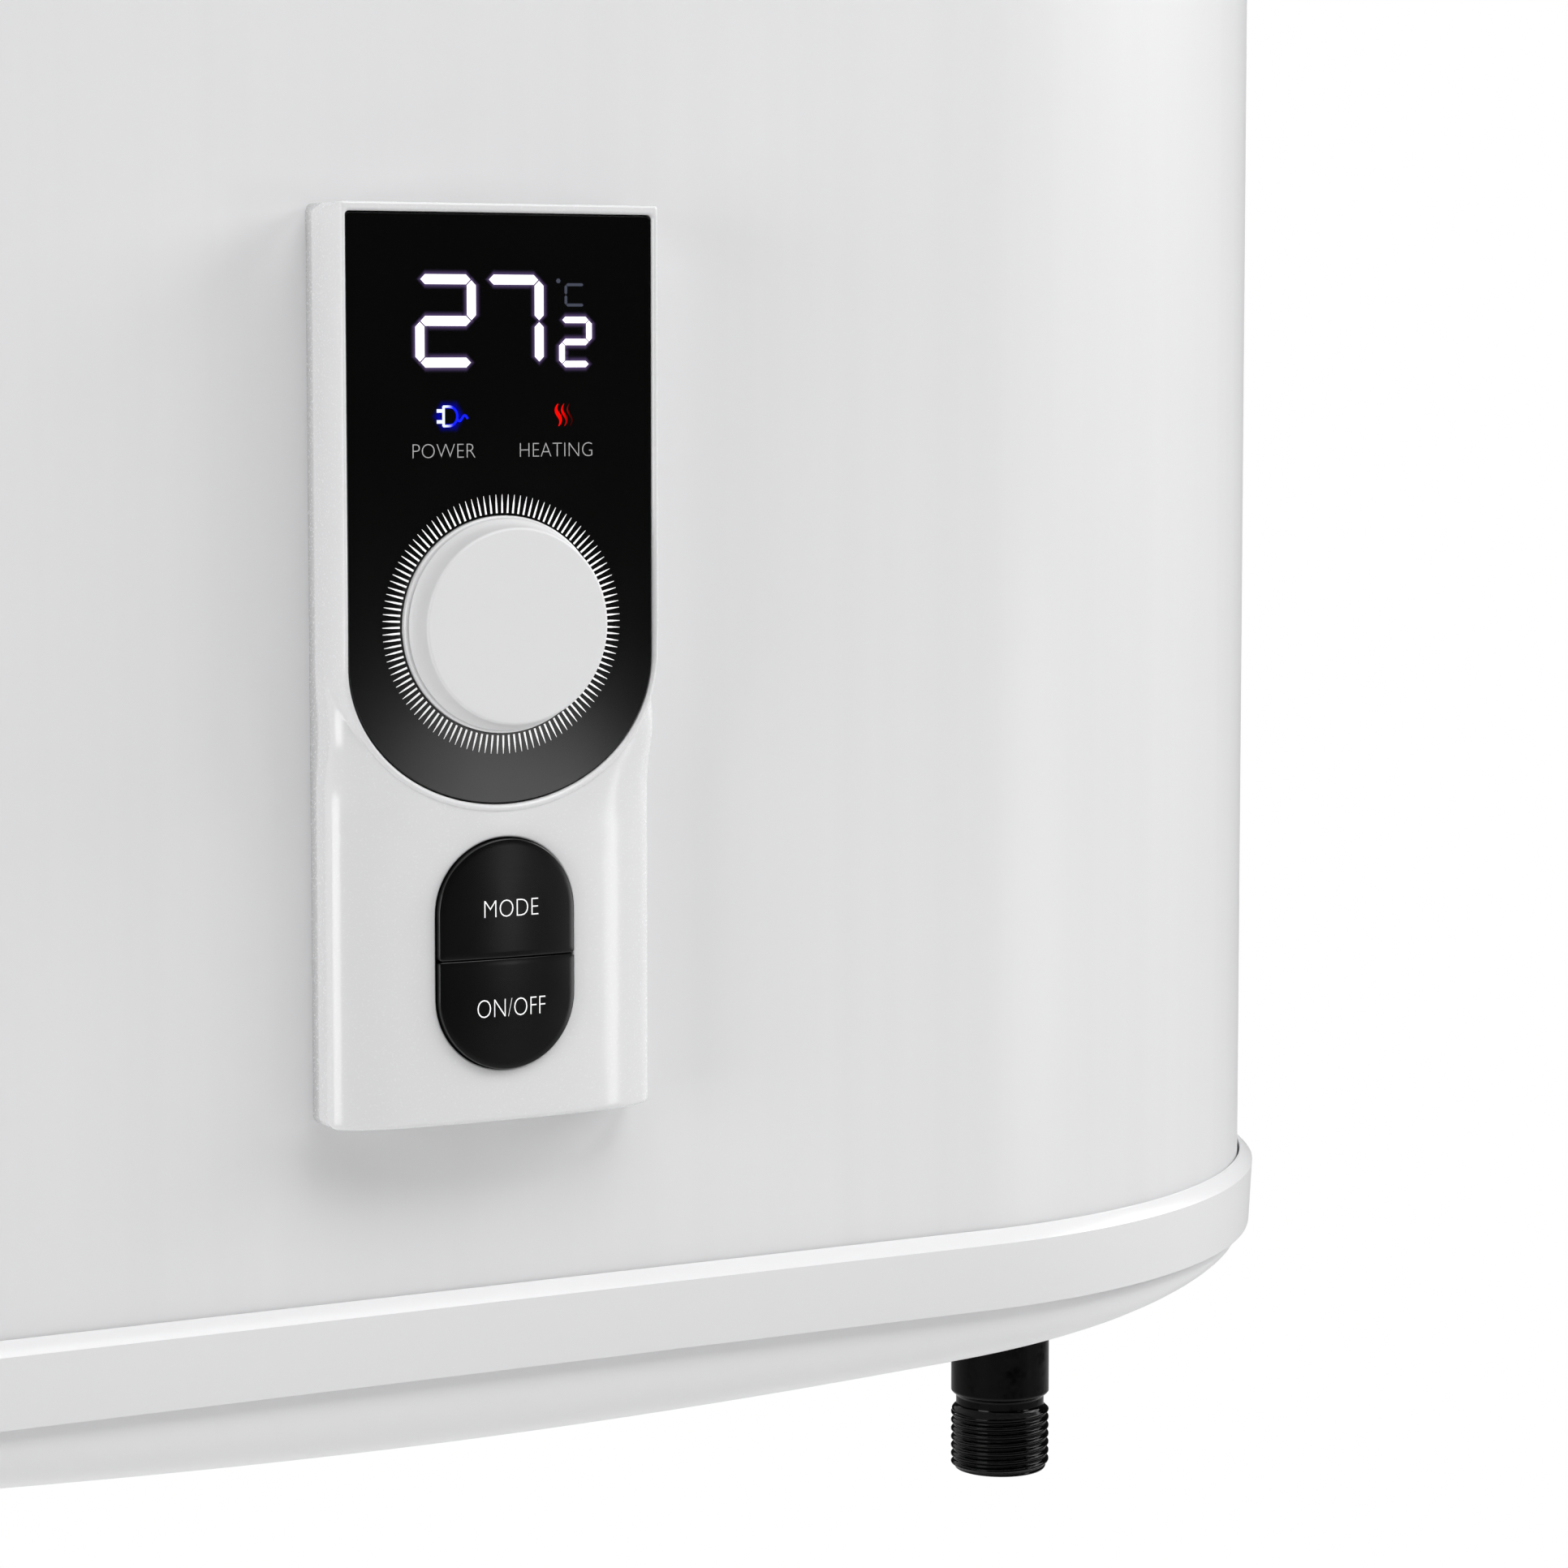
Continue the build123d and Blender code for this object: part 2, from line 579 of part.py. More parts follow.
def flange_bolt_set(sign):
    bolts = []
    for x, y in bolt_places():
        head = extrude(Pos(x, y, FLANGE_LOW - BOLT_HEAD_H) * RegularPolygon(BOLT_HEAD_R, 6),
                       amount=BOLT_HEAD_H, dir=(0, 0, 1))
        bolt = head + rod(x, y, FLANGE_LOW, NECK_FACE_Z + NECK_RING_T, BOLT_R)
        bolts.append(at_tank(sign, bolt))
    return bolts


def flange_pieces():
    for name, _, body in both_sides(flange):
        write(f"{name}_flange", body)
    for name, _, body in both_sides(gasket):
        write(f"{name}_gasket", body)
    for name, _, body in both_sides(heater):
        write(f"{name}_heating_element", body)
    for name, _, body in both_sides(anode):
        write(f"{name}_anode", body)
    write("sensor_pockets", Compound(children=[p.solid() for _, _, p in both_sides(sensor_pocket)]))
    bolts = flange_bolt_set(-1) + flange_bolt_set(1)
    write("flange_bolts", Compound(children=[b.solid() for b in bolts]))


def safety_pieces():
    """Thermal cut-out under the left flange, its reset button, and the right tank's water sensor."""
    x, y = -TANK_X, TANK_AXIS_Y + POCKET_Y
    top = FLANGE_LOW
    low = top - CUTOUT_H
    probe_r = POCKET_R - POCKET_WALL - PROBE_GAP
    body = brick(x - CUTOUT_W / 2, x + CUTOUT_W / 2, y - CUTOUT_D / 2 + 3, y + CUTOUT_D / 2, low, top)
    body = chamfer(body.edges().filter_by(Axis.Z), 2)
    body += rod(x, y, top, FLANGE_TOP + POCKET_L - 10, probe_r)
    room = RESET_TRAVEL + 1.0
    stem_top = low + 6.0
    body -= rod(x, y, low - 1, stem_top + room, RESET_R + RESET_PLAY)
    write("thermal_cutout", body)
    button = rod(x, y, low - RESET_STICKS_OUT, stem_top, RESET_R)
    write("cutout_reset_button", fillet(button.edges().group_by(Axis.Z)[0], 0.8))
    sensor = rod(TANK_X, y, FLANGE_LOW, FLANGE_TOP + POCKET_L / 2, probe_r)
    sensor += rod(TANK_X, y, FLANGE_LOW - 8, FLANGE_LOW, POCKET_R + 1.5)
    write("water_sensor", sensor)


# ---------------------------------------------------------------- lower compartment
def supply_pieces():
    """Power board on its posts, relays, terminal block, gland, earth stud and the element leads."""
    y = Y_FRONT + BOARD_Y
    top = BOARD_Z + BOARD_T
    board = brick(-BOARD_W / 2, BOARD_W / 2, y - BOARD_D / 2, y + BOARD_D / 2, BOARD_Z, top)
    screws = []
    for px, py in board_posts():
        board -= rod(px, py, BOARD_Z - 1, top + 1, BOARD_SCREW_R)
        screws.append(rod(px, py, BOARD_Z - 6, top, BOARD_SCREW_R)
                      + rod(px, py, top, top + 1.8, BOARD_SCREW_HEAD))
    write("power_board", board)
    write("board_screws", Compound(children=[s.solid() for s in screws]))
    w, d, h = RELAY
    relays = [brick(cx - w / 2, cx + w / 2, y - d / 2 - 8, y + d / 2 - 8, top, top + h) for cx in (-15, 15)]
    write("relays", Compound(children=[fillet(r.edges().filter_by(Axis.Z), 1).solid() for r in relays]))
    w, d, h = TERMINALS
    ty = y + BOARD_D / 2 - d / 2 - 6
    block = brick(-w / 2, w / 2, ty - d / 2, ty + d / 2, top, top + h)
    for i in range(3):
        cx = (i - 1) * w / 3
        block -= rod(cx, ty, top + h - 4, top + h + 1, 2.6)
    write("terminal_block", block)
    gx, gy = GLAND_X, Y_FRONT + GLAND_Y
    floor = -BELLY
    gland = tube(gx, gy, floor - GLAND_LIP_T, floor + GLAND_IN, GLAND_R, GLAND_BORE)
    gland += tube(gx, gy, floor - GLAND_LIP_T, floor, GLAND_LIP_R, GLAND_BORE)
    write("cable_gland", gland)
    earth = [at_tank(s, rod(s * 30, 14, FLANGE_LOW - 8, FLANGE_LOW, 2.5)
                     + rod(s * 30, 14, FLANGE_LOW - 4, FLANGE_LOW, 4.2)) for s in (-1, 1)]
    write("earth_studs", Compound(children=[e.solid() for e in earth]))
    write("element_leads", Compound(children=[lead.solid() for lead in element_leads()]))


def element_leads():
    """Four insulated leads from the board's ends to the heating elements' pins."""
    leads = []
    pin_low = FLANGE_LOW - 2 - HEATER_PIN_L
    for side in (-1, 1):
        for step, pin in ((0, -HEATER_HALF), (1, HEATER_HALF)):
            end_x = side * TANK_X + pin
            from_x = side * (BOARD_W / 2 - 4)
            y = TANK_AXIS_Y
            board_y = Y_FRONT + BOARD_Y - 8 + 14 * step - 10
            low = -5.0 if step else -2.0
            start = (from_x, board_y, BOARD_Z + BOARD_T)
            lift = BOARD_Z + BOARD_T + 7
            points = [start, (from_x, board_y, lift), (side * (BOARD_W / 2 + 9), board_y, lift),
                      (side * (BOARD_W / 2 + 9), board_y, low), (end_x, y, low), (end_x, y, pin_low)]
            leads.append(wire_tube(points, [3, 3, 3, 3], LEAD_R))
    return leads


# ---------------------------------------------------------------- wall brackets
def bracket(z):
    """Hat-section strip: its web lies on the wall and its flanges lie on the casing's back."""
    half = BRACKET_W / 2
    t = BRACKET_T
    web = brick(-half, half, -t, 0, z - WEB_HALF_H, z + WEB_HALF_H)
    body = web
    for side in (-1, 1):
        z_in = z + side * (WEB_HALF_H - t)
        z_out = z + side * WEB_HALF_H
        z_end = z + side * FLANGE_HALF_H
        body += brick(-half, half, Y_BACK, 0, min(z_in, z_out), max(z_in, z_out))
        body += brick(-half, half, Y_BACK, Y_BACK + t, min(z_in, z_end), max(z_in, z_end))
    slot = SlotOverall(SLOT_L, 2 * SLOT_R)
    plane = Plane(origin=(0, -t - 1, z), x_dir=(1, 0, 0), z_dir=(0, -1, 0))
    for side in (-1, 1):
        cut = plane * Pos(side * SLOT_SPACING / 2, 0) * slot
        body -= extrude(cut, amount=t + 2, dir=(0, 1, 0))
    for x, sz in stud_places(z):
        body -= behind(x, sz, STUD_R + 0.3, Y_BACK - 1, Y_BACK + t + 1)
    return body


def bracket_nuts():
    nuts = []
    for bracket_z in BRACKET_HEIGHTS:
        for x, z in stud_places(bracket_z):
            plane = Plane(origin=(x, Y_BACK + BRACKET_T, z), x_dir=(1, 0, 0), z_dir=(0, 1, 0))
            ring = RegularPolygon(NUT_R, 6) - Circle(STUD_R)
            nuts.append(extrude(plane * ring, amount=NUT_T, dir=(0, 1, 0)))
    return nuts


def bracket_pieces():
    write("upper_bracket", bracket(BRACKET_HEIGHTS[0]))
    write("lower_bracket", bracket(BRACKET_HEIGHTS[1]))
    write("bracket_nuts", Compound(children=[n.solid() for n in bracket_nuts()]))


# ---------------------------------------------------------------- foam and the harness through it
def harness_route():
    """Middle line of the wires from the control board, through the casing, down to the power board."""
    inside = Y_FRONT + 9.0
    low = BOARD_Z + BOARD_T + 9.0
    board_y = Y_FRONT + BOARD_Y - BOARD_D / 2 + 6
    return [(0, Y_FRONT - CONTROL_P, CASING_HOLE_Z), (0, inside, CASING_HOLE_Z), (0, inside, low),
            (0, board_y, low), (0, board_y, BOARD_Z + BOARD_T)]


def harness(radius):
    return wire_tube(harness_route(), [8, 8, 5], radius)


def foam():
    body = prism(outline(-SHEET), FOAM_LOW, HEIGHT - FOAM_TOP_GAP)
    body -= brick(-SEAM_HALF - SEAM_LAP, SEAM_HALF + SEAM_LAP, Y_BACK - 2 * SHEET, Y_BACK, 0, HEIGHT)
    for sign in (-1, 1):
        body -= at_tank(sign, tank_form(0) + neck_ring(FOAM_PLAY))
        body -= rod(sign * NIPPLE_X, Y_FRONT + NIPPLE_Y, 0, NIPPLE_TOP, NIPPLE_R + FOAM_PLAY)
    body -= link_hole()
    body -= harness(HARNESS_R + FOAM_PLAY)
    body -= disc(0, CASING_HOLE_Z, CASING_HOLE_R + 1.5, -4, 0)
    for stud in bracket_studs():
        body -= stud
    for x, z in panel_screw_places():
        body -= disc(x, z, PANEL_SCREW_R, -PANEL_SCREW_L, 0)
    return body.solids().sort_by(SortBy.VOLUME)[-1]


def grommet():
    """Rubber ring in the casing's hole, round the wires."""
    z = CASING_HOLE_Z
    ring = disc(0, z, CASING_HOLE_R, -SHEET, 0) + disc(0, z, CASING_HOLE_R + 1.2, -SHEET - 1.2, -SHEET)
    return ring - disc(0, z, HARNESS_R + 0.2, -5, 3)


# ---------------------------------------------------------------- control panel
def u_outline(grow=0.0):
    """Window outline: straight top and sides, and one round lower end."""
    half = WINDOW_HALF + grow
    radius = U_R + grow
    turn = U_CENTRE - math.sqrt(radius**2 - half**2)
    top = WINDOW_TOP + grow
    straight = Polyline((half, turn), (half, top), (-half, top), (-half, turn))
    return make_face(straight + ThreePointArc((-half, turn), (0, U_CENTRE - radius), (half, turn)))


def bowed_plan(inset=0.0):
    """Panel's plan section: straight sides, rounded shoulders and a gently bowed front."""
    side, bend = PANEL_HALF - inset, BEND_X - inset
    y = [Y_FRONT - max(p - inset, 0.5) for p in (SHOULDER_P, BEND_P, CROWN_P)]
    mid_x = bend + 0.62 * (side - bend)
    mid_y = y[0] + 0.62 * (y[1] - y[0])
    right = ThreePointArc((side, y[0]), (mid_x, mid_y), (bend, y[1]))
    crown = ThreePointArc((bend, y[1]), (0, y[2]), (-bend, y[1]))
    left = ThreePointArc((-bend, y[1]), (-mid_x, mid_y), (-side, y[0]))
    base = Polyline((-side, y[0]), (-side, Y_FRONT), (side, Y_FRONT), (side, y[0]))
    return make_face(right + crown + left + base)


def keys_outline(grow=0.0):
    """Stadium shape that holds both keys."""
    width = 2 * (KEY_HALF + grow)
    height = KEYS_TOP - KEYS_LOW + 2 * grow
    middle = (KEYS_TOP + KEYS_LOW) / 2
    return Pos(0, middle) * Rot(0, 0, 90) * SlotOverall(height, width)


def panel_screw_places():
    """Screws that hold the base plate to the casing."""
    x = PANEL_HALF - PANEL_WALL - 5
    return [(sx * x, z) for sx in (-1, 1) for z in (PANEL_LOW + 9, PANEL_TOP - 9)]


def control_screw_places():
    """Screws that hold the control board to the base plate's pillars."""
    x = PANEL_HALF - PANEL_WALL - 5
    return [(sx * x, z) for sx in (-1, 1) for z in (PANEL_LOW + 22, PANEL_TOP - 22)]


def panel_housing():
    ledge_p = WINDOW_P - WINDOW_T
    frame = slab(u_outline(PANEL_HALF - WINDOW_HALF), 0, FRAME_P)
    frame = chamfer(frame.faces().filter_by(lambda f: f.normal_at().Y < -0.9).edges(), FRAME_CHAMFER)
    body = prism(bowed_plan(), PANEL_LOW, PANEL_TOP) + frame
    body -= slab(u_outline(0), ledge_p, FRAME_P + 1)
    body -= slab(u_outline(-LEDGE_W), 1, FRAME_P + 1)
    inner = PANEL_HALF - PANEL_WALL
    low, high = PANEL_LOW + PANEL_WALL, PANEL_TOP - PANEL_WALL
    body -= slab(Pos(0, (low + high) / 2) * Rectangle(2 * inner, high - low), -1, ledge_p - 2)
    u_low = U_CENTRE - U_R - PANEL_WALL
    body -= prism(bowed_plan(PANEL_WALL), low, u_low)
    body -= slab(keys_outline(KEY_GAP), 5, KEY_P + 3)
    return body


def window_piece():
    plate = slab(u_outline(-WINDOW_GAP), WINDOW_P - WINDOW_T, WINDOW_P)
    return plate - disc(0, KNOB_Z, COLLAR_R + COLLAR_GAP, 0, WINDOW_P + 1)


def knob_pieces():
    """Fixed collar, the encoder with its nut, the shaft and the knob."""
    web_low = ENCODER_P
    web_high = web_low + WEB_T
    collar = disc(0, KNOB_Z, COLLAR_R, web_low, COLLAR_P)
    collar -= disc(0, KNOB_Z, COLLAR_INNER, web_high, COLLAR_P + 1)
    collar -= disc(0, KNOB_Z, BUSH_R + 0.1, web_low - 1, web_high + 1)
    edge = collar.edges().group_by(Axis.Y)[0].sort_by(SortBy.LENGTH)[-1]
    write("knob_collar", fillet(edge, 0.35))

    half = ENCODER_W / 2
    body = slab(Pos(0, KNOB_Z) * Rectangle(2 * half, 2 * half), BOARD_FRONT_P, ENCODER_P)
    bush_top = web_high + ENCODER_NUT_T + 0.6
    body += disc(0, KNOB_Z, BUSH_R, ENCODER_P, bush_top)
    body -= disc(0, KNOB_Z, SHAFT_R + SHAFT_PLAY, BOARD_FRONT_P + 0.8, bush_top + 1)
    body -= disc(0, KNOB_Z, SHAFT_R + 1.6, BOARD_FRONT_P + 0.8, BOARD_FRONT_P + 2.6)
    write("encoder_body", body)
    nut = slab(Pos(0, KNOB_Z) * (RegularPolygon(NUT_ACROSS / 2, 6, major_radius=False) - Circle(BUSH_R)),
               web_high, web_high + ENCODER_NUT_T)
    write("encoder_nut", nut)

    shaft_low = BOARD_FRONT_P + 1.1
    shaft_top = KNOB_FACE_P - KNOB_WALL - 0.3
    shaft = disc(0, KNOB_Z, SHAFT_R, shaft_low, shaft_top)
    shaft += disc(0, KNOB_Z, SHAFT_R + 1.3, shaft_low, shaft_low + 1.2)
    flat_z = KNOB_Z + SHAFT_R * 0.6
    flat_sketch = Pos(0, flat_z + SHAFT_R) * Rectangle(4 * SHAFT_R, 2 * SHAFT_R)
    d_flat = slab(flat_sketch, bush_top + 0.5, shaft_top + 1)
    write("encoder_shaft", shaft - d_flat)

    base = front_plane(KNOB_BASE_P) * Pos(0, KNOB_Z) * Circle(KNOB_BASE_R)
    face = front_plane(KNOB_FACE_P) * Pos(0, KNOB_Z) * Circle(KNOB_FACE_R)
    knob = loft([base.face(), face.face()], ruled=True)
    knob = fillet(knob.edges().group_by(Axis.Y)[0], KNOB_EDGE)
    hollow = KNOB_FACE_R - KNOB_WALL
    knob -= disc(0, KNOB_Z, hollow, KNOB_BASE_P - 1, KNOB_FACE_P - KNOB_WALL)
    knob += disc(0, KNOB_Z, SHAFT_R + 2, bush_top + 0.6, KNOB_FACE_P - KNOB_WALL + 0.5)
    knob -= disc(0, KNOB_Z, SHAFT_R, bush_top, shaft_top) - d_flat
    write("knob", knob)


def key(low, high):
    """One key: its share of the stadium, rounded at its outer edge, with a stem down to its switch."""
    middle = (low + high) / 2
    area = keys_outline(0) & (Pos(0, middle) * Rectangle(4 * KEY_HALF, high - low))
    body = slab(area, KEY_BACK_P, KEY_P)
    body = fillet(body.faces().sort_by(Axis.Y)[0].edges(), KEY_EDGE)
    return body + disc(0, middle, KEY_STEM_R, plunger_top(), KEY_BACK_P)


def plunger_top():
    return BOARD_FRONT_P + SWITCH_H + PLUNGER_OUT


def key_pieces():
    spans = {"onoff": (KEYS_LOW, KEYS_SPLIT - KEY_GAP / 2), "mode": (KEYS_SPLIT + KEY_GAP / 2, KEYS_TOP)}
    switches = []
    for name, (low, high) in spans.items():
        write(f"{name}_button", key(low, high))
        z = (low + high) / 2
        housing = slab(Pos(0, z) * Rectangle(SWITCH_W, SWITCH_W), BOARD_FRONT_P, BOARD_FRONT_P + SWITCH_H)
        well = BOARD_FRONT_P + 0.8
        housing -= disc(0, z, PLUNGER_R + PLUNGER_PLAY, well, BOARD_FRONT_P + SWITCH_H + 1)
        switches.append(housing)
        foot = well + KEY_TRAVEL + 0.3
        write(f"{name}_plunger", disc(0, z, PLUNGER_R, foot, plunger_top()))
    write("key_switches", Compound(children=[s.solid() for s in switches]))


def board_and_lights():
    """Base plate, control board with its screws, digit module, icon lights and their guides."""
    inner = PANEL_HALF - PANEL_WALL - BASE_PLAY
    low, high = PANEL_LOW + PANEL_WALL + BASE_PLAY, PANEL_TOP - PANEL_WALL - BASE_PLAY
    middle = (low + high) / 2
    sheet = Pos(0, middle) * Rectangle(2 * inner, high - low)
    base = slab(sheet, 0, BASE_T)
    screws, pins = [], []
    for x, z in control_screw_places():
        base += disc(x, z, 3.0, BASE_T, CONTROL_P)
    for x, z in panel_screw_places():
        base -= disc(x, z, PANEL_SCREW_R, -1, CONTROL_P)
        head = disc(x, z, PANEL_SCREW_HEAD, BASE_T, CONTROL_P - 0.1)
        screws.append(head + disc(x, z, PANEL_SCREW_R, -PANEL_SCREW_L, BASE_T))
    board = slab(Pos(0, middle) * Rectangle(2 * inner - 1, high - low - 1), CONTROL_P, BOARD_FRONT_P)
    for x, z in control_screw_places():
        base -= disc(x, z, PANEL_SCREW_R, 0.3, CONTROL_P + 1)
        board -= disc(x, z, PANEL_SCREW_R, CONTROL_P - 1, BOARD_FRONT_P + 1)
        pins.append(disc(x, z, PANEL_SCREW_R, 0.3, BOARD_FRONT_P)
                    + disc(x, z, PANEL_SCREW_HEAD, BOARD_FRONT_P, BOARD_FRONT_P + 1.5))
    base -= disc(0, CASING_HOLE_Z, CASING_HOLE_R, -1, BASE_T + 1)
    write("panel_base", base)
    write("panel_base_screws", Compound(children=[s.solid() for s in screws]))
    write("control_board", board)
    write("control_board_screws", Compound(children=[p.solid() for p in pins]))

    digits = Pos(0, (DIGITS_LOW + DIGITS_TOP) / 2) * Rectangle(DIGITS_W, DIGITS_TOP - DIGITS_LOW)
    top = WINDOW_P - WINDOW_T
    write("digit_display", slab(digits, BOARD_FRONT_P, top))
    w, h, t = LED
    leds, guides = [], []
    for side in (-1, 1):
        leds.append(slab(Pos(side * ICON_X, ICON_Z) * Rectangle(w, h), BOARD_FRONT_P, BOARD_FRONT_P + t))
        ring = Circle(GUIDE_R) - Circle(GUIDE_R - GUIDE_WALL)
        guides.append(slab(Pos(side * ICON_X, ICON_Z) * ring, BOARD_FRONT_P, top))
    write("icon_lights", Compound(children=[led.solid() for led in leds]))
    write("light_guides", Compound(children=[g.solid() for g in guides]))


def panel_pieces():
    write("panel_housing", panel_housing())
    write("display_window", window_piece())
    knob_pieces()
    key_pieces()
    board_and_lights()
    write("wire_grommet", grommet())
    write("panel_harness", harness(HARNESS_R))


os.makedirs("parts", exist_ok=True)
casing_pieces()
cap_pieces()
water_pieces()
flange_pieces()
safety_pieces()
supply_pieces()
bracket_pieces()
panel_pieces()
write("foam_insulation", foam())
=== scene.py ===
# %% [markdown]
# # A flat tank water heater
# A white sheet-metal casing hangs on the wall between two plastic caps, with a narrow control panel on its
# front and two water nipples below. Each cell makes one piece or one finish. Sizes are in millimetres as a
# maker would read them off, and become metres in the one place where points go into a mesh.

# %% The fixed frame
import math

import bpy
import bmesh
import numpy as np
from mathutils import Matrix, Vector


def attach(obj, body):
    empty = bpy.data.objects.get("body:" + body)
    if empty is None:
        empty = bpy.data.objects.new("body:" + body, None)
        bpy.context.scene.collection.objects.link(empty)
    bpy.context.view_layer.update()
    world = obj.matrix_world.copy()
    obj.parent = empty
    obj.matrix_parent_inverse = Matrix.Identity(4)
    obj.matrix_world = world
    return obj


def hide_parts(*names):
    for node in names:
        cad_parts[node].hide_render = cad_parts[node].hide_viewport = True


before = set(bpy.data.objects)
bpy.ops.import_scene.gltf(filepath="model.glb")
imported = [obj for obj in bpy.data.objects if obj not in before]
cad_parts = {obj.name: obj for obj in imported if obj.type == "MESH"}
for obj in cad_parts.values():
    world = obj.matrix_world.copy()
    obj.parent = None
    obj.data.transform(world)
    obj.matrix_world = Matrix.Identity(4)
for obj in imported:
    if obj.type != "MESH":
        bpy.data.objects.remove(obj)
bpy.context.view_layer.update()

# %% [markdown]
# ## Where things are
# The wall is Y = 0 and the casing's front faces -Y. Heights are easiest to read from the bottom rim's lower
# edge, and depths on the panel are easiest to read as how far a point stands proud of the casing's front. Two
# small functions turn such points into the shared frame, so no other cell has to think about it.

# %% Main sizes and the two placing functions
MM = 0.001
HANG = 690.0                      # bottom rim up to the slots that the frame counts from
WIDTH, DEPTH, HEIGHT = 436.0, 250.0, 850.0
Y_BACK, Y_FRONT = -12.0, -262.0
FRONT_R, REAR_R = 111.0, 80.0


def place(x, y, height):
    """Shared-frame points in metres: x across, y from the wall, height above the bottom rim."""
    return np.stack(np.broadcast_arrays(x, y, np.asarray(height, float) - HANG), -1) * MM


def on_front(x, proud, height):
    """The same for a point that stands proud of the casing's front."""
    return place(x, Y_FRONT - np.asarray(proud, float), height)


print("casing front at", Y_FRONT * MM, "m")

# %% [markdown]
# ## Grids that become meshes
# Every new piece here is a function of two parameters, worked out as whole arrays. The faces of such a grid
# never change: each corner joins its neighbours one row and one column on. A closed direction joins its last
# line to its first. Doubled points at poles and seams are welded, and the faces are then turned outwards.

# %% Grid, mesh and piece makers
def grid_faces(rows, columns, ring_rows=False, ring_columns=False):
    """Quads of a rows x columns grid; a ring's last line meets its first."""
    r = np.arange(rows if ring_rows else rows - 1)[:, None]
    c = np.arange(columns if ring_columns else columns - 1)[None, :]
    r2, c2 = (r + 1) % rows, (c + 1) % columns
    corners = (r * columns + c, r * columns + c2, r2 * columns + c2, r2 * columns + c)
    return np.stack(corners, -1).reshape(-1, 4)


def sheet(points, ring_rows=False, ring_columns=False):
    """A (rows, columns, 3) array of points with its faces."""
    rows, columns = points.shape[:2]
    return points.reshape(-1, 3), grid_faces(rows, columns, ring_rows, ring_columns)


def make_mesh(sheets, facing=None, sharp=32.0, weld=2e-6):
    """Joins sheets, welds doubles, turns the faces outwards, or the way that facing gives, and shades
    smoothly except where faces meet at more than sharp degrees."""
    starts = np.cumsum([0] + [len(points) for points, _ in sheets[:-1]])
    points = np.concatenate([p for p, _ in sheets])
    faces = [f for (_, quads), start in zip(sheets, starts) for f in (quads + start).tolist()]
    mesh = bpy.data.meshes.new("grid")
    mesh.from_pydata(points.tolist(), [], faces)
    form = bmesh.new()
    form.from_mesh(mesh)
    bmesh.ops.remove_doubles(form, verts=form.verts, dist=weld)
    bmesh.ops.dissolve_degenerate(form, edges=form.edges, dist=weld / 2)
    if facing is None:
        bmesh.ops.recalc_face_normals(form, faces=form.faces)
    else:
        turned = [f for f in form.faces if f.normal.dot(Vector(facing)) < 0]
        bmesh.ops.reverse_faces(form, faces=turned)
    form.to_mesh(mesh)
    form.free()
    mesh.shade_smooth()
    mesh.set_sharp_from_angle(angle=math.radians(sharp))
    return mesh


def add_object(name, data):
    """A new object in the scene."""
    obj = bpy.data.objects.new(name, data)
    bpy.context.scene.collection.objects.link(obj)
    return obj


def applied(obj):
    """What an object looks like in the end, after its modifiers or as set letters, as a new mesh."""
    return bpy.data.meshes.new_from_object(obj.evaluated_get(bpy.context.evaluated_depsgraph_get()))


def make_piece(name, mesh, slot, *stands_for, body="heater_body", finish=None):
    """Puts a mesh on show as a piece: gives it the finish named by slot, or by finish where that is given,
    hides the CAD nodes that it stands for, and hangs it on its body."""
    mesh.name = name
    obj = add_object(name, mesh)
    mesh.materials.clear()
    mesh.materials.append(finishes[finish or slot])
    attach(obj, body)
    if stands_for:
        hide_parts(*stands_for)
    print(f"{name}: {len(mesh.vertices)} points, {len(mesh.polygons)} faces")
    return obj


# %% [markdown]
# ## Finishes written as sums
# A finish is a small node tree. Wiring it by hand hides the idea, so one class wraps a socket and lets
# Python's own signs add the Math nodes: `1 - mask * 0.3` reads as what it does. Every other node comes from
# one method that takes its type, its settings and what goes into its sockets.

# %% Wire and Finish
class Wire:
    """One output socket; arithmetic on it adds Math nodes to the same tree."""

    def __init__(self, finish, socket):
        self.finish, self.socket = finish, socket

    def math(self, operation, *others):
        return self.finish.add("ShaderNodeMath", {"operation": operation}, dict(enumerate(others)))

    def __add__(self, other):
        return self.math("ADD", self, other)

    def __sub__(self, other):
        return self.math("SUBTRACT", self, other)

    def __rsub__(self, other):
        return self.math("SUBTRACT", other, self)

    def __mul__(self, other):
        return self.math("MULTIPLY", self, other)

    __radd__ = __add__

    def above(self, edge, width):
        """0 below edge, 1 past edge + width, smooth between."""
        return self.finish.add("ShaderNodeMapRange", {"interpolation_type": "SMOOTHSTEP"},
                               {0: self, 1: edge, 2: edge + width, 3: 0.0, 4: 1.0})


def paint(code, share=1.0):
    """A hex colour as the linear numbers that shaders use, or a share of it for a darker one."""
    s = np.array([int(code[i:i + 2], 16) for i in (1, 3, 5)]) / 255
    return (*(share * np.where(s <= 0.04045, s / 12.92, ((s + 0.055) / 1.055) ** 2.4)), 1.0)


finishes = {}                     # every finish by its name


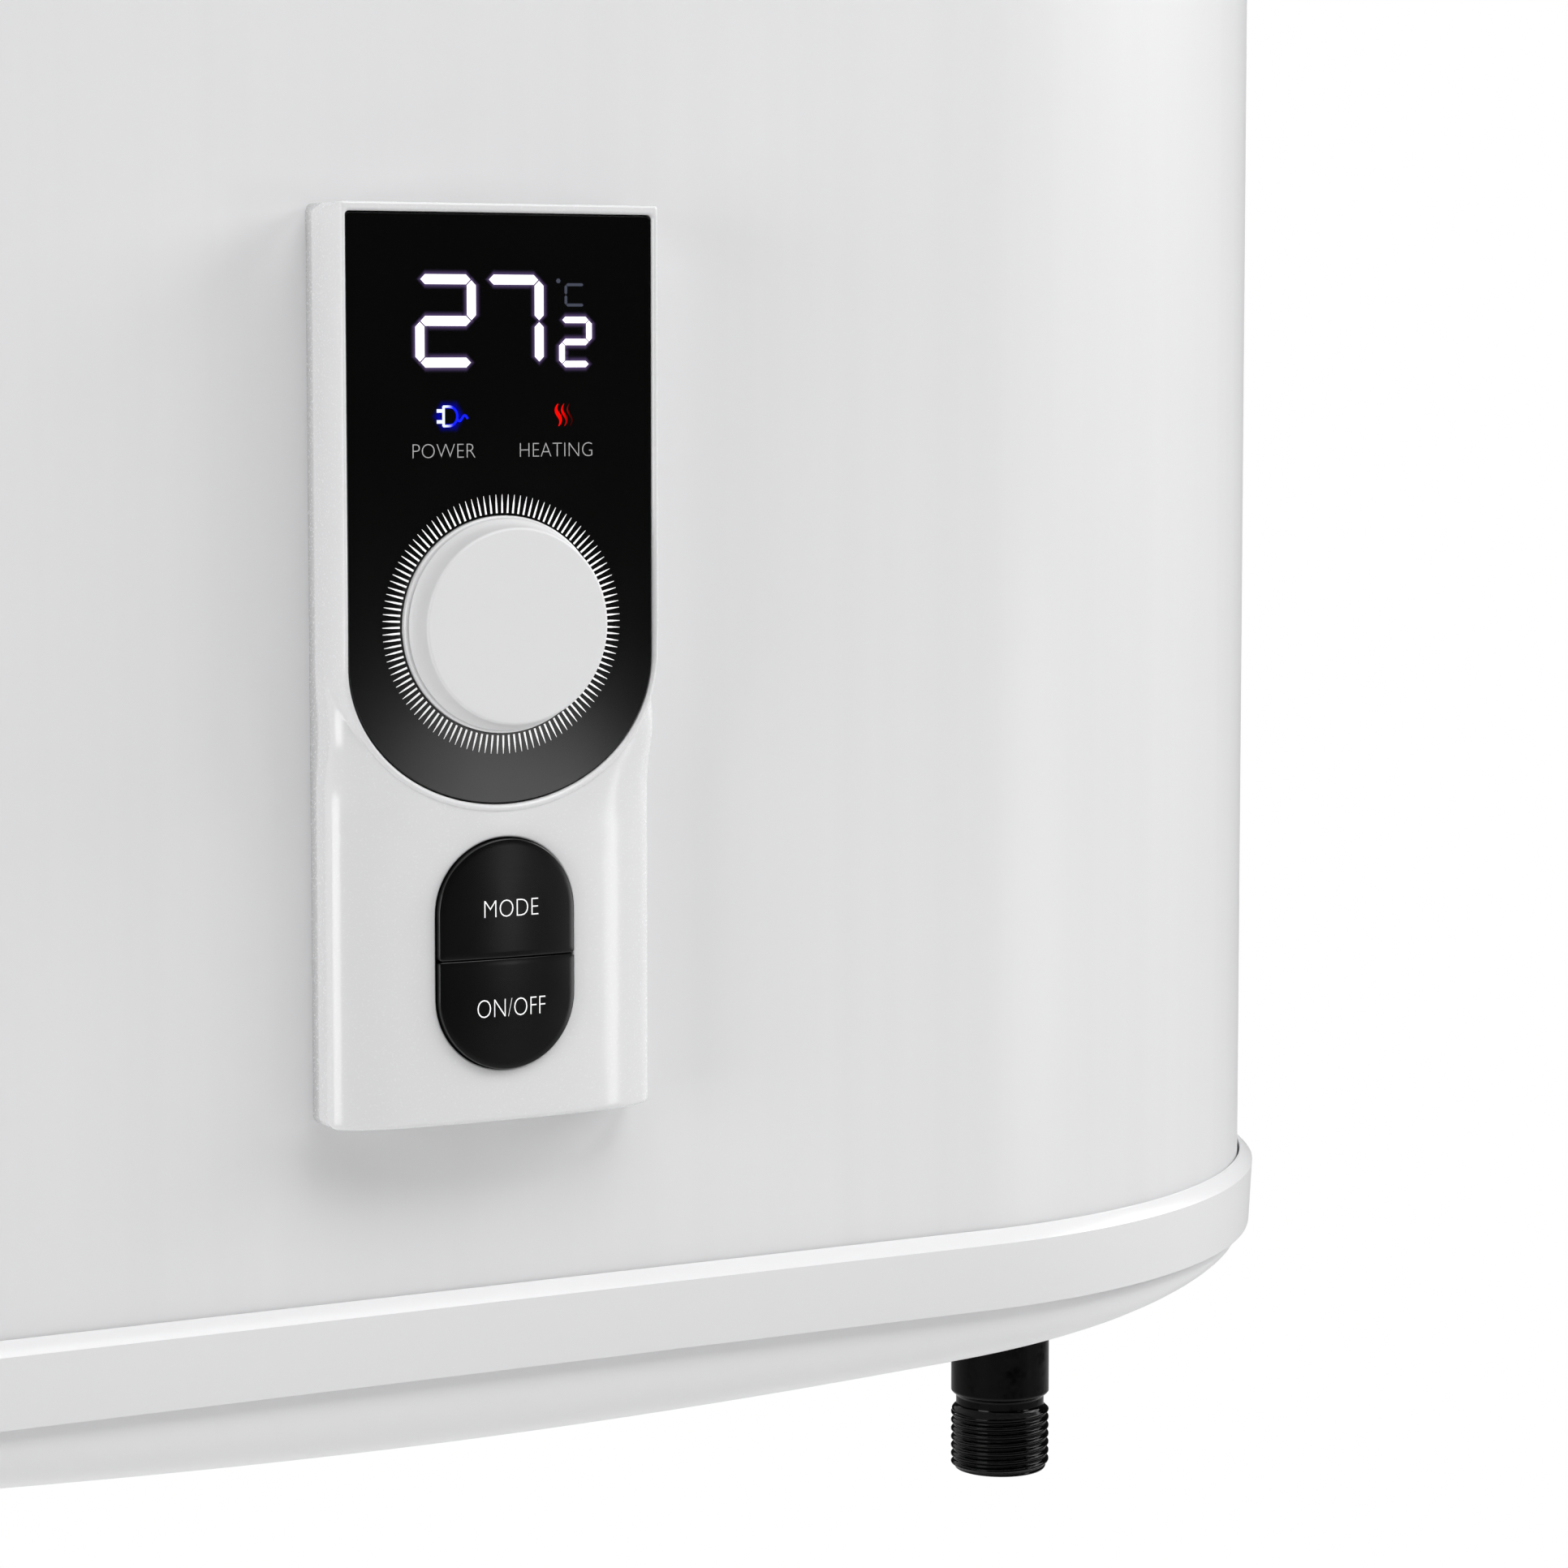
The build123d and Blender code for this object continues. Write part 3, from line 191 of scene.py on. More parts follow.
class Finish:
    """A material with its node tree and its main shader, listed under its name."""

    def __init__(self, name, colour, **sockets):
        self.material = bpy.data.materials.new(name)
        self.material.use_nodes = True
        self.tree = self.material.node_tree
        self.shader = self.tree.nodes["Principled BSDF"]
        self.put("Base Color", colour)
        for socket, value in sockets.items():
            self.put(socket.replace("_", " "), value)
        self.material.diffuse_color = colour
        finishes[name] = self.material

    def put(self, socket, value):
        """Sets or links one socket of the main shader."""
        self.feed(self.shader.inputs[socket], value)

    def feed(self, socket, value):
        if isinstance(value, Wire):
            self.tree.links.new(value.socket, socket)
        else:
            socket.default_value = value

    def add(self, kind, settings=None, inputs=None, output=0):
        """Adds a node: first its settings, then the values or wires of its sockets."""
        node = self.tree.nodes.new(kind)
        for key, value in (settings or {}).items():
            setattr(node, key, value)
        for key, value in (inputs or {}).items():
            self.feed(node.inputs[key], value)
        return Wire(self, node.outputs[output])

    def coordinates(self, stretch=(1, 1, 1)):
        """Object coordinates, scaled so that patterns can be drawn out along one axis."""
        source = self.add("ShaderNodeTexCoord", output="Object")
        return self.add("ShaderNodeMapping", None, {"Vector": source, "Scale": stretch})

    def noise(self, scale, detail=3.0, stretch=(1, 1, 1)):
        return self.add("ShaderNodeTexNoise", None,
                        {"Vector": self.coordinates(stretch), "Scale": scale, "Detail": detail})

    def cells(self, scale):
        """Distance to the nearest of many scattered points."""
        return self.add("ShaderNodeTexVoronoi", None, {"Vector": self.coordinates(), "Scale": scale})

    def mix(self, factor, first, second):
        """A colour between two colours."""
        return self.add("ShaderNodeMix", {"data_type": "RGBA"}, {0: factor, 6: first, 7: second}, 2)

    def bump(self, height, strength, distance):
        self.put("Normal", self.add("ShaderNodeBump", None,
                                    {"Strength": strength, "Distance": distance, "Height": height}))


print("a colour reads", [round(float(v), 3) for v in paint("#E2E2E2")])

# %% [markdown]
# ## White paint and white plastics
# The casing is powder-coated sheet with a fine orange-peel skin. Faint upright streaks that show in its
# reflections are painted into its colour as slightly darker lines, a painted reflection. The caps are
# moulded, with a finer and flatter grain. The panel is glossier, and the knob is satin. Each takes a small
# drift of brightness, because no large white surface is quite one white.

# %% White finishes
def white_finish(name, colour, roughness, grain, peel, reflection_streak=0.0, coat=0.0):
    """White skin: slow cloudy drift, fine grain in the bump and optional upright streaks painted into the
    colour as a reflection.
    """
    finish = Finish(name, paint(colour), Roughness=roughness, Coat_Weight=coat, Coat_Roughness=0.12)
    cloud = finish.noise(9.0, 2.0)
    drift = 1.0 - (cloud - 0.5) * 0.05
    # painted reflection: upright streaks, seen in the casing's reflections, darken its colour
    if reflection_streak:
        lines = finish.noise(140.0, 2.0, stretch=(1, 1, 0.012))
        drift = drift - (lines - 0.5) * reflection_streak
    finish.put("Base Color", finish.mix((drift - 0.9) * 8.0, paint(colour, 0.9), paint(colour)))
    fine = finish.noise(grain, 3.0)
    finish.put("Roughness", roughness + (fine - 0.5) * 0.12)
    finish.bump(fine, 0.25, peel)


white_finish("casing_white", "#EDEDEE", 0.38, 900.0, 0.00003, reflection_streak=0.05, coat=0.12)
white_finish("cap_white", "#EEEEEF", 0.34, 2400.0, 0.00002, coat=0.15)
white_finish("panel_white", "#ECECED", 0.26, 2600.0, 0.00001, coat=0.4)
white_finish("knob_white", "#EBEBEC", 0.42, 3200.0, 0.00002)
print("whites:", sorted(finishes))

# %% [markdown]
# ## Black glass, black keys and the dark nipples
# The window is black acrylic: nearly no colour of its own, a hard gloss and a trace of haze. The keys are the
# same black moulded, so a little rougher. The nipples wear a black film that wrinkles as it shrinks, which
# is a stretched noise in the bump.

# %% Black finishes
def black_finish(name, colour, roughness, scale, strength, distance, stretch=(1, 1, 1), **sockets):
    """Dark gloss whose roughness and height follow one noise."""
    finish = Finish(name, paint(colour), Roughness=roughness, **sockets)
    wave = finish.noise(scale, 3.0, stretch)
    finish.put("Roughness", roughness + (wave - 0.5) * roughness * 0.4)
    finish.put("Base Color", finish.mix(wave, paint(colour, 0.7), paint(colour)))
    finish.bump(wave, strength, distance)


black_finish("window_black", "#060606", 0.11, 35.0, 0.05, 0.00002)
black_finish("key_black", "#080808", 0.2, 60.0, 0.08, 0.00002)
black_finish("nipple_black", "#030303", 0.12, 130.0, 0.6, 0.0004, (1, 1, 0.6), Specular_IOR_Level=0.16)
black_finish("part_black", "#1C1C1D", 0.5, 900.0, 0.3, 0.00005)
black_finish("gasket_black", "#181818", 0.75, 700.0, 0.4, 0.0001)
black_finish("wire_grey", "#55565A", 0.45, 500.0, 0.2, 0.00005)
print("finishes so far:", len(finishes))

# %% [markdown]
# ## Metals
# Zinc-plated brackets show spangle, the crystals of the plating, so their brightness and roughness change
# from cell to cell of a Voronoi pattern. The tanks, the elements and the anodes are brushed or cast: a noise
# drawn out along the height gives the brushing, and a coarse one the casting.

# %% Metal finishes
def metal_finish(name, light, dark, roughness, pattern, distance=0.00004, metallic=0.75):
    """Metal between two greys by a pattern, which also drives roughness and bump."""
    finish = Finish(name, paint(light), Metallic=metallic, Roughness=roughness)
    mask = pattern(finish)
    finish.put("Base Color", finish.mix(mask, paint(dark), paint(light)))
    finish.put("Roughness", roughness + (mask - 0.5) * 0.18)
    finish.bump(mask, 0.35, distance)


metal_finish("zinc_steel", "#C9C9C4", "#A6A7A4", 0.38,
             lambda f: f.cells(160.0) * 0.6 + f.noise(400.0) * 0.5)
metal_finish("tank_steel", "#BDBEC0", "#9C9DA0", 0.36, lambda f: f.noise(260.0, 4.0, (1, 1, 0.03)))
metal_finish("element_nickel", "#B9B2A6", "#8F887C", 0.34, lambda f: f.noise(300.0, 4.0, (1, 1, 0.2)))
metal_finish("anode_grey", "#A9AAAB", "#85868A", 0.62, lambda f: f.noise(240.0, 5.0), 0.0002, 0.7)
print("metals done,", len(finishes), "finishes")

# %% [markdown]
# ## What is inside
# The foam is poured and rises round the tanks, so its skin is full of small bubbles. The boards are green
# with lighter copper runs under the lacquer: two crossed sets of lines, broken up by noise, read as tracks.

# %% Foam, boards and small moulded parts
foam = Finish("foam_cream", paint("#E6D9A8"), Roughness=0.9)
bubbles = foam.cells(420.0)
foam.put("Base Color", foam.mix(bubbles, paint("#C9B778"), paint("#EDE1B5")))
foam.bump(bubbles, 0.7, 0.0005)

board = Finish("board_green", paint("#1E6B3E"), Roughness=0.42)
across = board.add("ShaderNodeTexWave", {"bands_direction": "X"},
                   {"Vector": board.coordinates(), "Scale": 130.0, "Distortion": 2.0})
along = board.add("ShaderNodeTexWave", {"bands_direction": "Z"},
                  {"Vector": board.coordinates(), "Scale": 90.0, "Distortion": 3.0})
tracks = (across * along * board.noise(60.0)).above(0.22, 0.06)
board.put("Base Color", board.mix(tracks, paint("#175A33"), paint("#3E9A5E")))
board.bump(tracks, 0.4, 0.00005)

for name, light, dark, rough in (("part_white", "#E4E3DE", "#CFCEC8", 0.45),
                                 ("reset_red", "#B8201C", "#8E1512", 0.3)):
    small = Finish(name, paint(light), Roughness=rough)
    grain = small.noise(1500.0)
    small.put("Base Color", small.mix(grain, paint(dark), paint(light)))
    small.bump(grain, 0.2, 0.00003)
print("all finishes:", sorted(finishes))

# %% [markdown]
# ## The casing's plan
# Seen from above, the casing is a rectangle with four round corners, wider at the front. Carrying a profile
# round this line makes the sheet, the rims and the domed ends. The line is built from its normal's angle:
# on a round corner the angle turns and the centre stays, on a straight run the angle stays.

# %% Plan of the casing
def straight(start, end, count):
    """Evenly spaced points from start towards end, without the end."""
    return np.linspace(start, end, count, endpoint=False)


def casing_plan():
    """Points round the plan and their outward normals, from the middle of the back by +X round and back."""
    rear_x, rear_y = WIDTH / 2 - REAR_R, Y_BACK - REAR_R
    front_x, front_y = WIDTH / 2 - FRONT_R, Y_FRONT + FRONT_R
    # each run: its centre's start and end, its normal's first and last angle, its radius and its points
    runs = [((0, Y_BACK), (rear_x, Y_BACK), 90, 90, 0, 10),
            ((rear_x, rear_y), (rear_x, rear_y), 90, 0, REAR_R, 36),
            ((WIDTH / 2, rear_y), (WIDTH / 2, front_y), 0, 0, 0, 8),
            ((front_x, front_y), (front_x, front_y), 0, -90, FRONT_R, 72),
            ((front_x, Y_FRONT), (-front_x, Y_FRONT), -90, -90, 0, 44),
            ((-front_x, front_y), (-front_x, front_y), -90, -180, FRONT_R, 72),
            ((-WIDTH / 2, front_y), (-WIDTH / 2, rear_y), 180, 180, 0, 8),
            ((-rear_x, rear_y), (-rear_x, rear_y), 180, 90, REAR_R, 36),
            ((-rear_x, Y_BACK), (0, Y_BACK), 90, 90, 0, 10)]
    turn = np.concatenate([straight(a, b, n) for _, _, a, b, _, n in runs])
    radius = np.concatenate([np.full(n, float(r)) for *_, r, n in runs])[:, None]
    centre = np.concatenate([straight(p, q, n) for p, q, *_, n in runs])
    normal = np.stack([np.cos(np.radians(turn)), np.sin(np.radians(turn))], -1)
    return centre + radius * normal, normal


plan, plan_normal = casing_plan()
print("plan:", len(plan), "points,", plan.min(0), "to", plan.max(0))

# %% [markdown]
# ## The wrapped sheet
# On the real heater one sheet is bent round three sides, and a flat panel closes the back. Here the plan's
# line, cut off at the seam, carries the thin cross-section of the sheet: outside face, edge, inside face.
# That keeps the corner's roundness exact, which matters most in the long highlight that runs down it.

# %% Casing sheet
SHEET = 0.6
LEDGE = 3.0                       # how far the sheet's edges sit inside the rims
SEAM_HALF = 123.0


def casing_sheet():
    """The plan from one seam round the front to the other, carrying a closed rectangular section."""
    keep = (plan[:, 1] < Y_BACK - 1e-6) | (np.abs(plan[:, 0]) > SEAM_HALF)
    ends = np.array([[SEAM_HALF, Y_BACK], [-SEAM_HALF, Y_BACK]])
    line = np.concatenate([ends[:1], plan[keep], ends[1:]])
    normal = np.concatenate([[[0, 1]], plan_normal[keep], [[0, 1]]])
    inset = np.array([0, 0, 0, -SHEET, -SHEET, 0])[:, None]
    height = np.array([LEDGE, HEIGHT / 2, HEIGHT - LEDGE, HEIGHT - LEDGE, LEDGE, LEDGE])[:, None]
    x = line[:, 0] + inset * normal[:, 0]
    y = line[:, 1] + inset * normal[:, 1]
    body = place(x, y, height)
    ends_closed = [sheet(body[:5, k].reshape(1, 5, 3)[:, [0, 4, 2, 3]].reshape(2, 2, 3)) for k in (0, -1)]
    return [sheet(body)] + ends_closed


make_piece("casing_wrap_sheet", make_mesh(casing_sheet()), "casing_white", "casing_wrap")

# %% [markdown]
# ## Rims and domed ends
# Each cap is one moulding: a band that stands out from the casing, a bevel up to the sheet, and a belly that
# hangs below the band. Rows of the grid follow the section from the middle of the belly out, round the band
# and back inside. The belly's depth is a function of the distance from the edge, which gives the rolled
# edge, and of the distance from the middle, which makes the slow dome.

# %% Cap surface
RIM_H, RIM_LOW, RIM_HIGH, BEVEL = 13.0, 2.5, 3.2, 2.35
ROLL, EDGE_DROP, DOME, DOME_SIDE, DOME_HALF = 8.1, 2.34, 8.16, 4.18, 176.9
CAP_WALL, CAP_SHARP = 2.5, 28       # its wall, and the angle in degrees that shows as an edge


def belly_height(x, inward):
    """Height of the belly: minus the edge's drop, minus the dome's depth here times a quarter ellipse in the
    distance from the edge, which levels off after the roll."""
    depth = DOME * (1 - (np.abs(x) / DOME_HALF) ** 1.9) + DOME_SIDE
    share = 1 - np.clip(inward / ROLL, 0, 1)
    return -EDGE_DROP - depth * np.sqrt(1 - share**2)


def belly_rows(lift, inset):
    """Rows from the plan inwards to the middle line: along the normal over the roll, then straight in."""
    roll = ROLL * (1 - np.cos(np.linspace(0, np.pi / 2, 11))) + inset
    edge = plan[None] - roll[:, None, None] * plan_normal[None]
    spine_half = (WIDTH - DEPTH) / 2
    spine = np.stack([np.clip(plan[:, 0], -spine_half, spine_half),
                      np.full(len(plan), (Y_BACK + Y_FRONT) / 2)], -1)
    share = np.linspace(0, 1, 13)[1:, None, None]
    rows = np.concatenate([edge, edge[-1] + share * (spine - edge[-1])])
    inward = np.concatenate([roll - inset, np.full(len(share), ROLL)])[:, None]
    return rows, belly_height(rows[..., 0], inward) + lift


def cap_surface(flip):
    """The closed section of a cap, carried round the plan; flip turns it into the top cap."""
    rows, heights = belly_rows(0, 0)
    inner, inner_heights = belly_rows(CAP_WALL, CAP_WALL)
    section = [(0, -EDGE_DROP + 0.01), (0, -0.05), (RIM_LOW - 0.35, -0.05), (RIM_LOW - 0.1, 0.03),
               (RIM_LOW, 0.3), (RIM_HIGH - 0.02, RIM_H - 0.25), (RIM_HIGH, RIM_H - 0.1),
               (RIM_HIGH - 0.08, RIM_H + 0.05), (RIM_HIGH - BEVEL + 0.1, RIM_H + BEVEL - 0.07),
               (RIM_HIGH - BEVEL - 0.1, RIM_H + BEVEL), (0.5, RIM_H + BEVEL), (0.5, LEDGE),
               (-CAP_WALL, LEDGE)]
    out = np.array([o for o, _ in section])[:, None, None]
    band = plan[None] + out * plan_normal[None]
    band_heights = np.broadcast_to(np.array([h for _, h in section])[:, None], band.shape[:2])
    xy = np.concatenate([rows[::-1], band, inner])
    height = np.concatenate([heights[::-1], band_heights, inner_heights])
    points = place(xy[..., 0], xy[..., 1], HEIGHT - height if flip else height)
    return [sheet(points, ring_columns=True)]


bottom_mesh = make_mesh(cap_surface(False), sharp=CAP_SHARP)
top_mesh = make_mesh(cap_surface(True), sharp=CAP_SHARP)
print("belly in the middle:", round(float(belly_height(0.0, 20.0)), 2), "mm")

# %% [markdown]
# ## Holes for the nipples and the cord's gland
# The water nipples come through the belly with a hair of room. A hole in a curved grid is awkward to plan
# into its rows, so three round cutters are subtracted from the finished shell instead, and the result is
# kept as a plain mesh.

# %% Cut the holes
NIPPLE_X, NIPPLE_Y = 156.0, Y_FRONT + 75.0
GLAND_Y = Y_FRONT + 205.0
NIPPLE_HOLE, GLAND_HOLE = 11.7, 9.0
BAR_LOW, BAR_HIGH = -30, 20       # the cutters reach through the whole shell


def round_bar(x, y, radius):
    """A closed bar: the rings of a circle at two heights with a pole at each end."""
    turn = straight(0, 2 * np.pi, 64)
    ring = np.array([0, radius, radius, 0])[:, None]
    height = np.array([BAR_LOW, BAR_LOW, BAR_HIGH, BAR_HIGH])[:, None]
    return [sheet(place(x + ring * np.cos(turn), y + ring * np.sin(turn), height), ring_columns=True)]


def drilled(mesh, bars):
    """The mesh with each bar taken away, as a new mesh; the bars are removed again."""
    body = add_object("drilled", mesh)
    cutters = []
    for bar in bars:
        cutters.append(add_object("bar", make_mesh(bar)))
        cut = body.modifiers.new("cut", "BOOLEAN")
        cut.operation, cut.solver, cut.object = "DIFFERENCE", "EXACT", cutters[-1]
    result = applied(body)
    for spare in cutters + [body]:
        bpy.data.objects.remove(spare)
    result.set_sharp_from_angle(angle=math.radians(CAP_SHARP))
    return result


bars = [round_bar(side * NIPPLE_X, NIPPLE_Y, NIPPLE_HOLE) for side in (-1, 1)]
bars.append(round_bar(0.0, GLAND_Y, GLAND_HOLE))
make_piece("bottom_cap_shell", drilled(bottom_mesh, bars), "cap_white", "bottom_cap")
make_piece("top_cap_shell", top_mesh, "cap_white", "top_cap")

# %% [markdown]
# ## Water nipples
# A nipple is a turned steel tube: smooth where it leaves the cap, a narrow run-out groove, then a G1/2
# thread, 1.814 mm from crest to crest. A lathe's cut is a radius that depends on height alone. A thread adds
# one turn of the angle for each pitch of height, so the crest climbs as a helix.

# %% Nipples
NIPPLE_R, NIPPLE_BORE, NECK_R = 11.0, 7.5, 9.4
THREAD_R, THREAD_PITCH, THREAD_DEPTH = 10.478, 1.814, 0.62
THREAD_LOW, THREAD_TOP, NIPPLE_HIGH = -54.6, -41.3, 79.9


def nipple_surface(x, y):
    """Radius is a run of straights in height; on the thread it drops by the thread's depth times a raised
    cosine of height / pitch - angle / full turn, which is stretched and clipped for flat crests and roots."""
    turn = straight(0, 2 * np.pi, 96)[None]
    low = np.linspace(THREAD_LOW, THREAD_TOP, 112)
    neck = np.linspace(THREAD_TOP, -37.2, 14)[1:]
    height = np.concatenate([low, neck, [-30, -10, 20, NIPPLE_HIGH]])[:, None]
    step = np.interp(height, [-41.9, -40.9, -38.7, -37.6], [THREAD_R, NECK_R, NECK_R, NIPPLE_R])
    soft = np.interp(height, [-54.6, -53.6], [THREAD_R - 0.9, THREAD_R])
    wave = 0.5 - 0.5 * np.cos(2 * np.pi * (height / THREAD_PITCH) - turn)
    on_thread = np.clip((height - THREAD_LOW) / 0.8, 0, 1) * np.clip((-41.6 - height) / 1.2, 0, 1)
    radius = np.minimum(step, soft) - THREAD_DEPTH * on_thread * np.clip(wave * 1.25 - 0.12, 0, 1)
    bore = np.full((3, turn.size), NIPPLE_BORE)
    radius = np.concatenate([bore[:1], radius, bore[1:]])
    height = np.concatenate([[[THREAD_LOW]], height, [[NIPPLE_HIGH], [THREAD_LOW]]])
    return [sheet(place(x + radius * np.cos(turn), y + radius * np.sin(turn), height), ring_columns=True)]


for name, side, node in (("cold_water_nipple", 1, "cold_nipple"), ("hot_water_nipple", -1, "hot_nipple")):
    make_piece(name, make_mesh(nipple_surface(side * NIPPLE_X, NIPPLE_Y), sharp=60), "nipple_black", node)

# %% [markdown]
# ## The panel's front
# The housing is one glossy moulding. Its front bows outwards, falls away over round shoulders to straight
# side walls, and carries a raised, rounded lip round the window. One height function says how far any point
# stands proud; two ring-shaped grids share it, one round the window and one round the keys, and they meet on
# a common line so that they weld into one skin.

# %% Height of the panel's front
PANEL_HALF, PANEL_LOW, PANEL_TOP = 31.3, 48.0, 210.3
SIDE_WALL, CROWN, FRAME = 6.4, 13.9, 13.95
SHOULDER_X, BOW, SHOULDER, BEAD = 20.0, 1.0, 5.0, 0.25
WINDOW_HALF, WINDOW_TOP, WINDOW_P = 29.4, 208.7, 13.2
BOWL_Z, BOWL_H = 130.0, 25.4      # the window's lower end is half an ellipse from here down
SEAM_Z = 101.6                    # where the two rings meet
KEY_HALF, KEY_LOW, KEY_HIGH, KEY_SPLIT = 13.1, 57.5, 98.6, 77.4
KEY_ROOM, SPLIT_HALF = 0.22, 0.1  # room round the keys, and half of the gap between them
CORNER, OPENING_CORNER = 1.5, 0.8
OPENING_BACK, PLATE_BACK = 11.4, 11.2   # how far proud the opening's wall and the window start


def smooth_step(value, low, high):
    t = np.clip((value - low) / (high - low), 0, 1)
    return t * t * (3 - 2 * t)


def rounding(distance, radius):
    """How much a quarter circle has dropped at a distance from its edge."""
    gap = np.clip(radius - distance, 0, radius)
    return radius - np.sqrt(radius**2 - gap**2)


def from_window(x, z):
    """Distance outwards from the window's outline: sideways above the bowl, along the ray from the bowl's
    centre below it."""
    reach = np.sqrt((x / WINDOW_HALF) ** 2 + ((z - BOWL_Z) / BOWL_H) ** 2) + 1e-9
    ray = np.hypot(x, z - BOWL_Z) * (1 - 1 / reach)
    return np.where(z > BOWL_Z, np.abs(x) - WINDOW_HALF, ray)


def front_height(x, z):
    """The bow drops with the square of the distance across, and past the shoulder's start by a quarter
    ellipse more. Near the window it is drawn up towards the frame, and a low rounded bead runs along the
    opening. Above the bowl there is only room for the frame's own quarter ellipse down to the side."""
    x = np.abs(x)
    level = CROWN - (CROWN - FRAME) * smooth_step(z, 104, 128)
    past = np.clip((x - SHOULDER_X) / (PANEL_HALF - SHOULDER_X), 0, 1)
    bow = level - BOW * (x / SHOULDER_X) ** 2 - SHOULDER * (1 - np.sqrt(1 - past**2))
    below = smooth_step(BOWL_Z - z, -2, 16)
    out = from_window(x, z)
    drawn = bow + np.maximum(FRAME - BEAD - 0.2 - bow, 0) * (1 - smooth_step(out, -1.5, 1.9 + 9.0 * below))
    bead = BEAD * np.sqrt(1 - np.clip((out - 0.5) / 0.7, 0, 1) ** 2)
    frame_side = SIDE_WALL + (FRAME - SIDE_WALL) * np.sqrt(1 - np.clip((out - 0.6) / 1.3, 0, 1) ** 2)
    high = (drawn + bead) * below + np.maximum(frame_side, bow) * (1 - below)
    return high - rounding(z - PANEL_LOW, 0.9) - rounding(PANEL_TOP - z, 0.5)


print("proud in the middle and at the side:", front_height(np.array([0, PANEL_HALF]), 60.0).round(2))

# %% [markdown]
# ## Rings round the window and the keys
# Both outlines are sampled in step with the panel's edge, so that each column of a ring runs from a point on
# the opening to its partner on the edge. The rows crowd together near the opening, where the lip is, and
# near the edge, where the shoulder turns fastest. Solidify then gives the skin its wall.

# %% Panel housing
def arc_points(centre_x, centre_z, radius, start, end, count):
    """Points of a round corner between two angles in degrees."""
    turn = np.radians(np.linspace(start, end, count))
    return np.stack([centre_x + radius * np.cos(turn), centre_z + radius * np.sin(turn)], -1)


def line_points(start, end, count):
    """Points between two corners, without the corners."""
    return np.linspace(start, end, count)[1:-1]


def mirrored(points):
    """The points of a line from the other side, in the order that carries on round."""
    return (points * [-1, 1])[::-1]


def bowl_points(angles):
    """The bowl's half ellipse and, along the same rays, the panel's edge or the common line."""
    inner = np.stack([WINDOW_HALF * np.cos(angles), BOWL_Z - BOWL_H * np.sin(angles)], -1)
    ray = inner - [0, BOWL_Z]
    reach = np.minimum(PANEL_HALF / np.maximum(np.abs(ray[:, 0]), 1e-9),
                       (BOWL_Z - SEAM_Z) / np.maximum(-ray[:, 1], 1e-9))
    return inner, [0, BOWL_Z] + ray * reach[:, None]


def window_ring():
    """Partner points on the window's outline and on the panel's edge, from the left of the bowl round. Along
    the common line they crowd towards both ends, where the shoulders are."""
    e, c, i = PANEL_HALF, CORNER, OPENING_CORNER
    corner = math.atan2((BOWL_Z - SEAM_Z) / BOWL_H, e / WINDOW_HALF)
    t = straight(0, 1, 90)
    crowded = np.pi - corner + (2 * corner - np.pi) * (t - 0.93 * np.sin(2 * np.pi * t) / (2 * np.pi))
    angles = np.concatenate([straight(np.pi, np.pi - corner, 22), crowded, np.linspace(corner, 0, 23)])
    bowl_in, bowl_out = bowl_points(angles)
    up_out = line_points((e, BOWL_Z), (e, PANEL_TOP - c), 16)
    up_in = line_points((WINDOW_HALF, BOWL_Z), (WINDOW_HALF, WINDOW_TOP - i), 16)
    top_out = line_points((e - c, PANEL_TOP), (c - e, PANEL_TOP), 20)
    top_in = line_points((WINDOW_HALF - i, WINDOW_TOP), (i - WINDOW_HALF, WINDOW_TOP), 20)
    right_out = [up_out, arc_points(e - c, PANEL_TOP - c, c, 0, 90, 7)]
    right_in = [up_in, arc_points(WINDOW_HALF - i, WINDOW_TOP - i, i, 0, 90, 7)]
    outer = np.concatenate([bowl_out] + right_out + [top_out] + [mirrored(p) for p in right_out[::-1]])
    inner = np.concatenate([bowl_in] + right_in + [top_in] + [mirrored(p) for p in right_in[::-1]])
    return inner, outer


def stadium(direction, half, low, high):
    """Where rays from a stadium's middle meet its outline: its straight side, or else its end's circle."""
    rest = (high - low) / 2 - half
    unit = direction / np.linalg.norm(direction, axis=1)[:, None]
    slope = np.abs(unit)
    side = half / np.maximum(slope[:, 0], 1e-9)
    inside = np.clip(half**2 - (rest * slope[:, 0]) ** 2, 0, None)
    cap = rest * slope[:, 1] + np.sqrt(inside)
    reach = np.where(side * slope[:, 1] <= rest, side, cap)
    return [0, (low + high) / 2] + unit * reach[:, None]


def key_ring(common):
    """Partner points on the keys' opening and on the panel's edge below the common line."""
    e, c, low = PANEL_HALF, CORNER, PANEL_LOW
    side = line_points((e, SEAM_Z), (e, low + c), 16)
    corner = arc_points(e - c, low + c, c, 0, -90, 7)
    bottom = line_points((e - c, low), (c - e, low), 40)
    outer = np.concatenate([common, side, corner, bottom, mirrored(corner), mirrored(side)])
    middle = [0, (KEY_LOW + KEY_HIGH) / 2]
    return stadium(outer - middle, KEY_HALF + KEY_ROOM, KEY_LOW - KEY_ROOM, KEY_HIGH + KEY_ROOM), outer


def ring_skin(inner, outer, edge_radius):
    """The ring's rows: down the opening's wall, over its rounded edge and out to the panel's edge."""
    length = np.linalg.norm(outer - inner, axis=1)
    near = np.linspace(0, 1, 22)[:, None] ** 1.35 * np.minimum(2.6 / length, 0.72)
    far = near[-1] + (1 - near[-1]) * (1 - (1 - np.linspace(0, 1, 19)[1:, None]) ** 2.4)
    share = np.concatenate([near, far])[..., None]
    at = inner + share * (outer - inner)
    proud = front_height(at[..., 0], at[..., 1]) - rounding(share[..., 0] * length, edge_radius)
    wall = on_front(inner[:, 0], OPENING_BACK, inner[:, 1])[None]
    return np.concatenate([wall, on_front(at[..., 0], proud, at[..., 1])]), proud[-1]


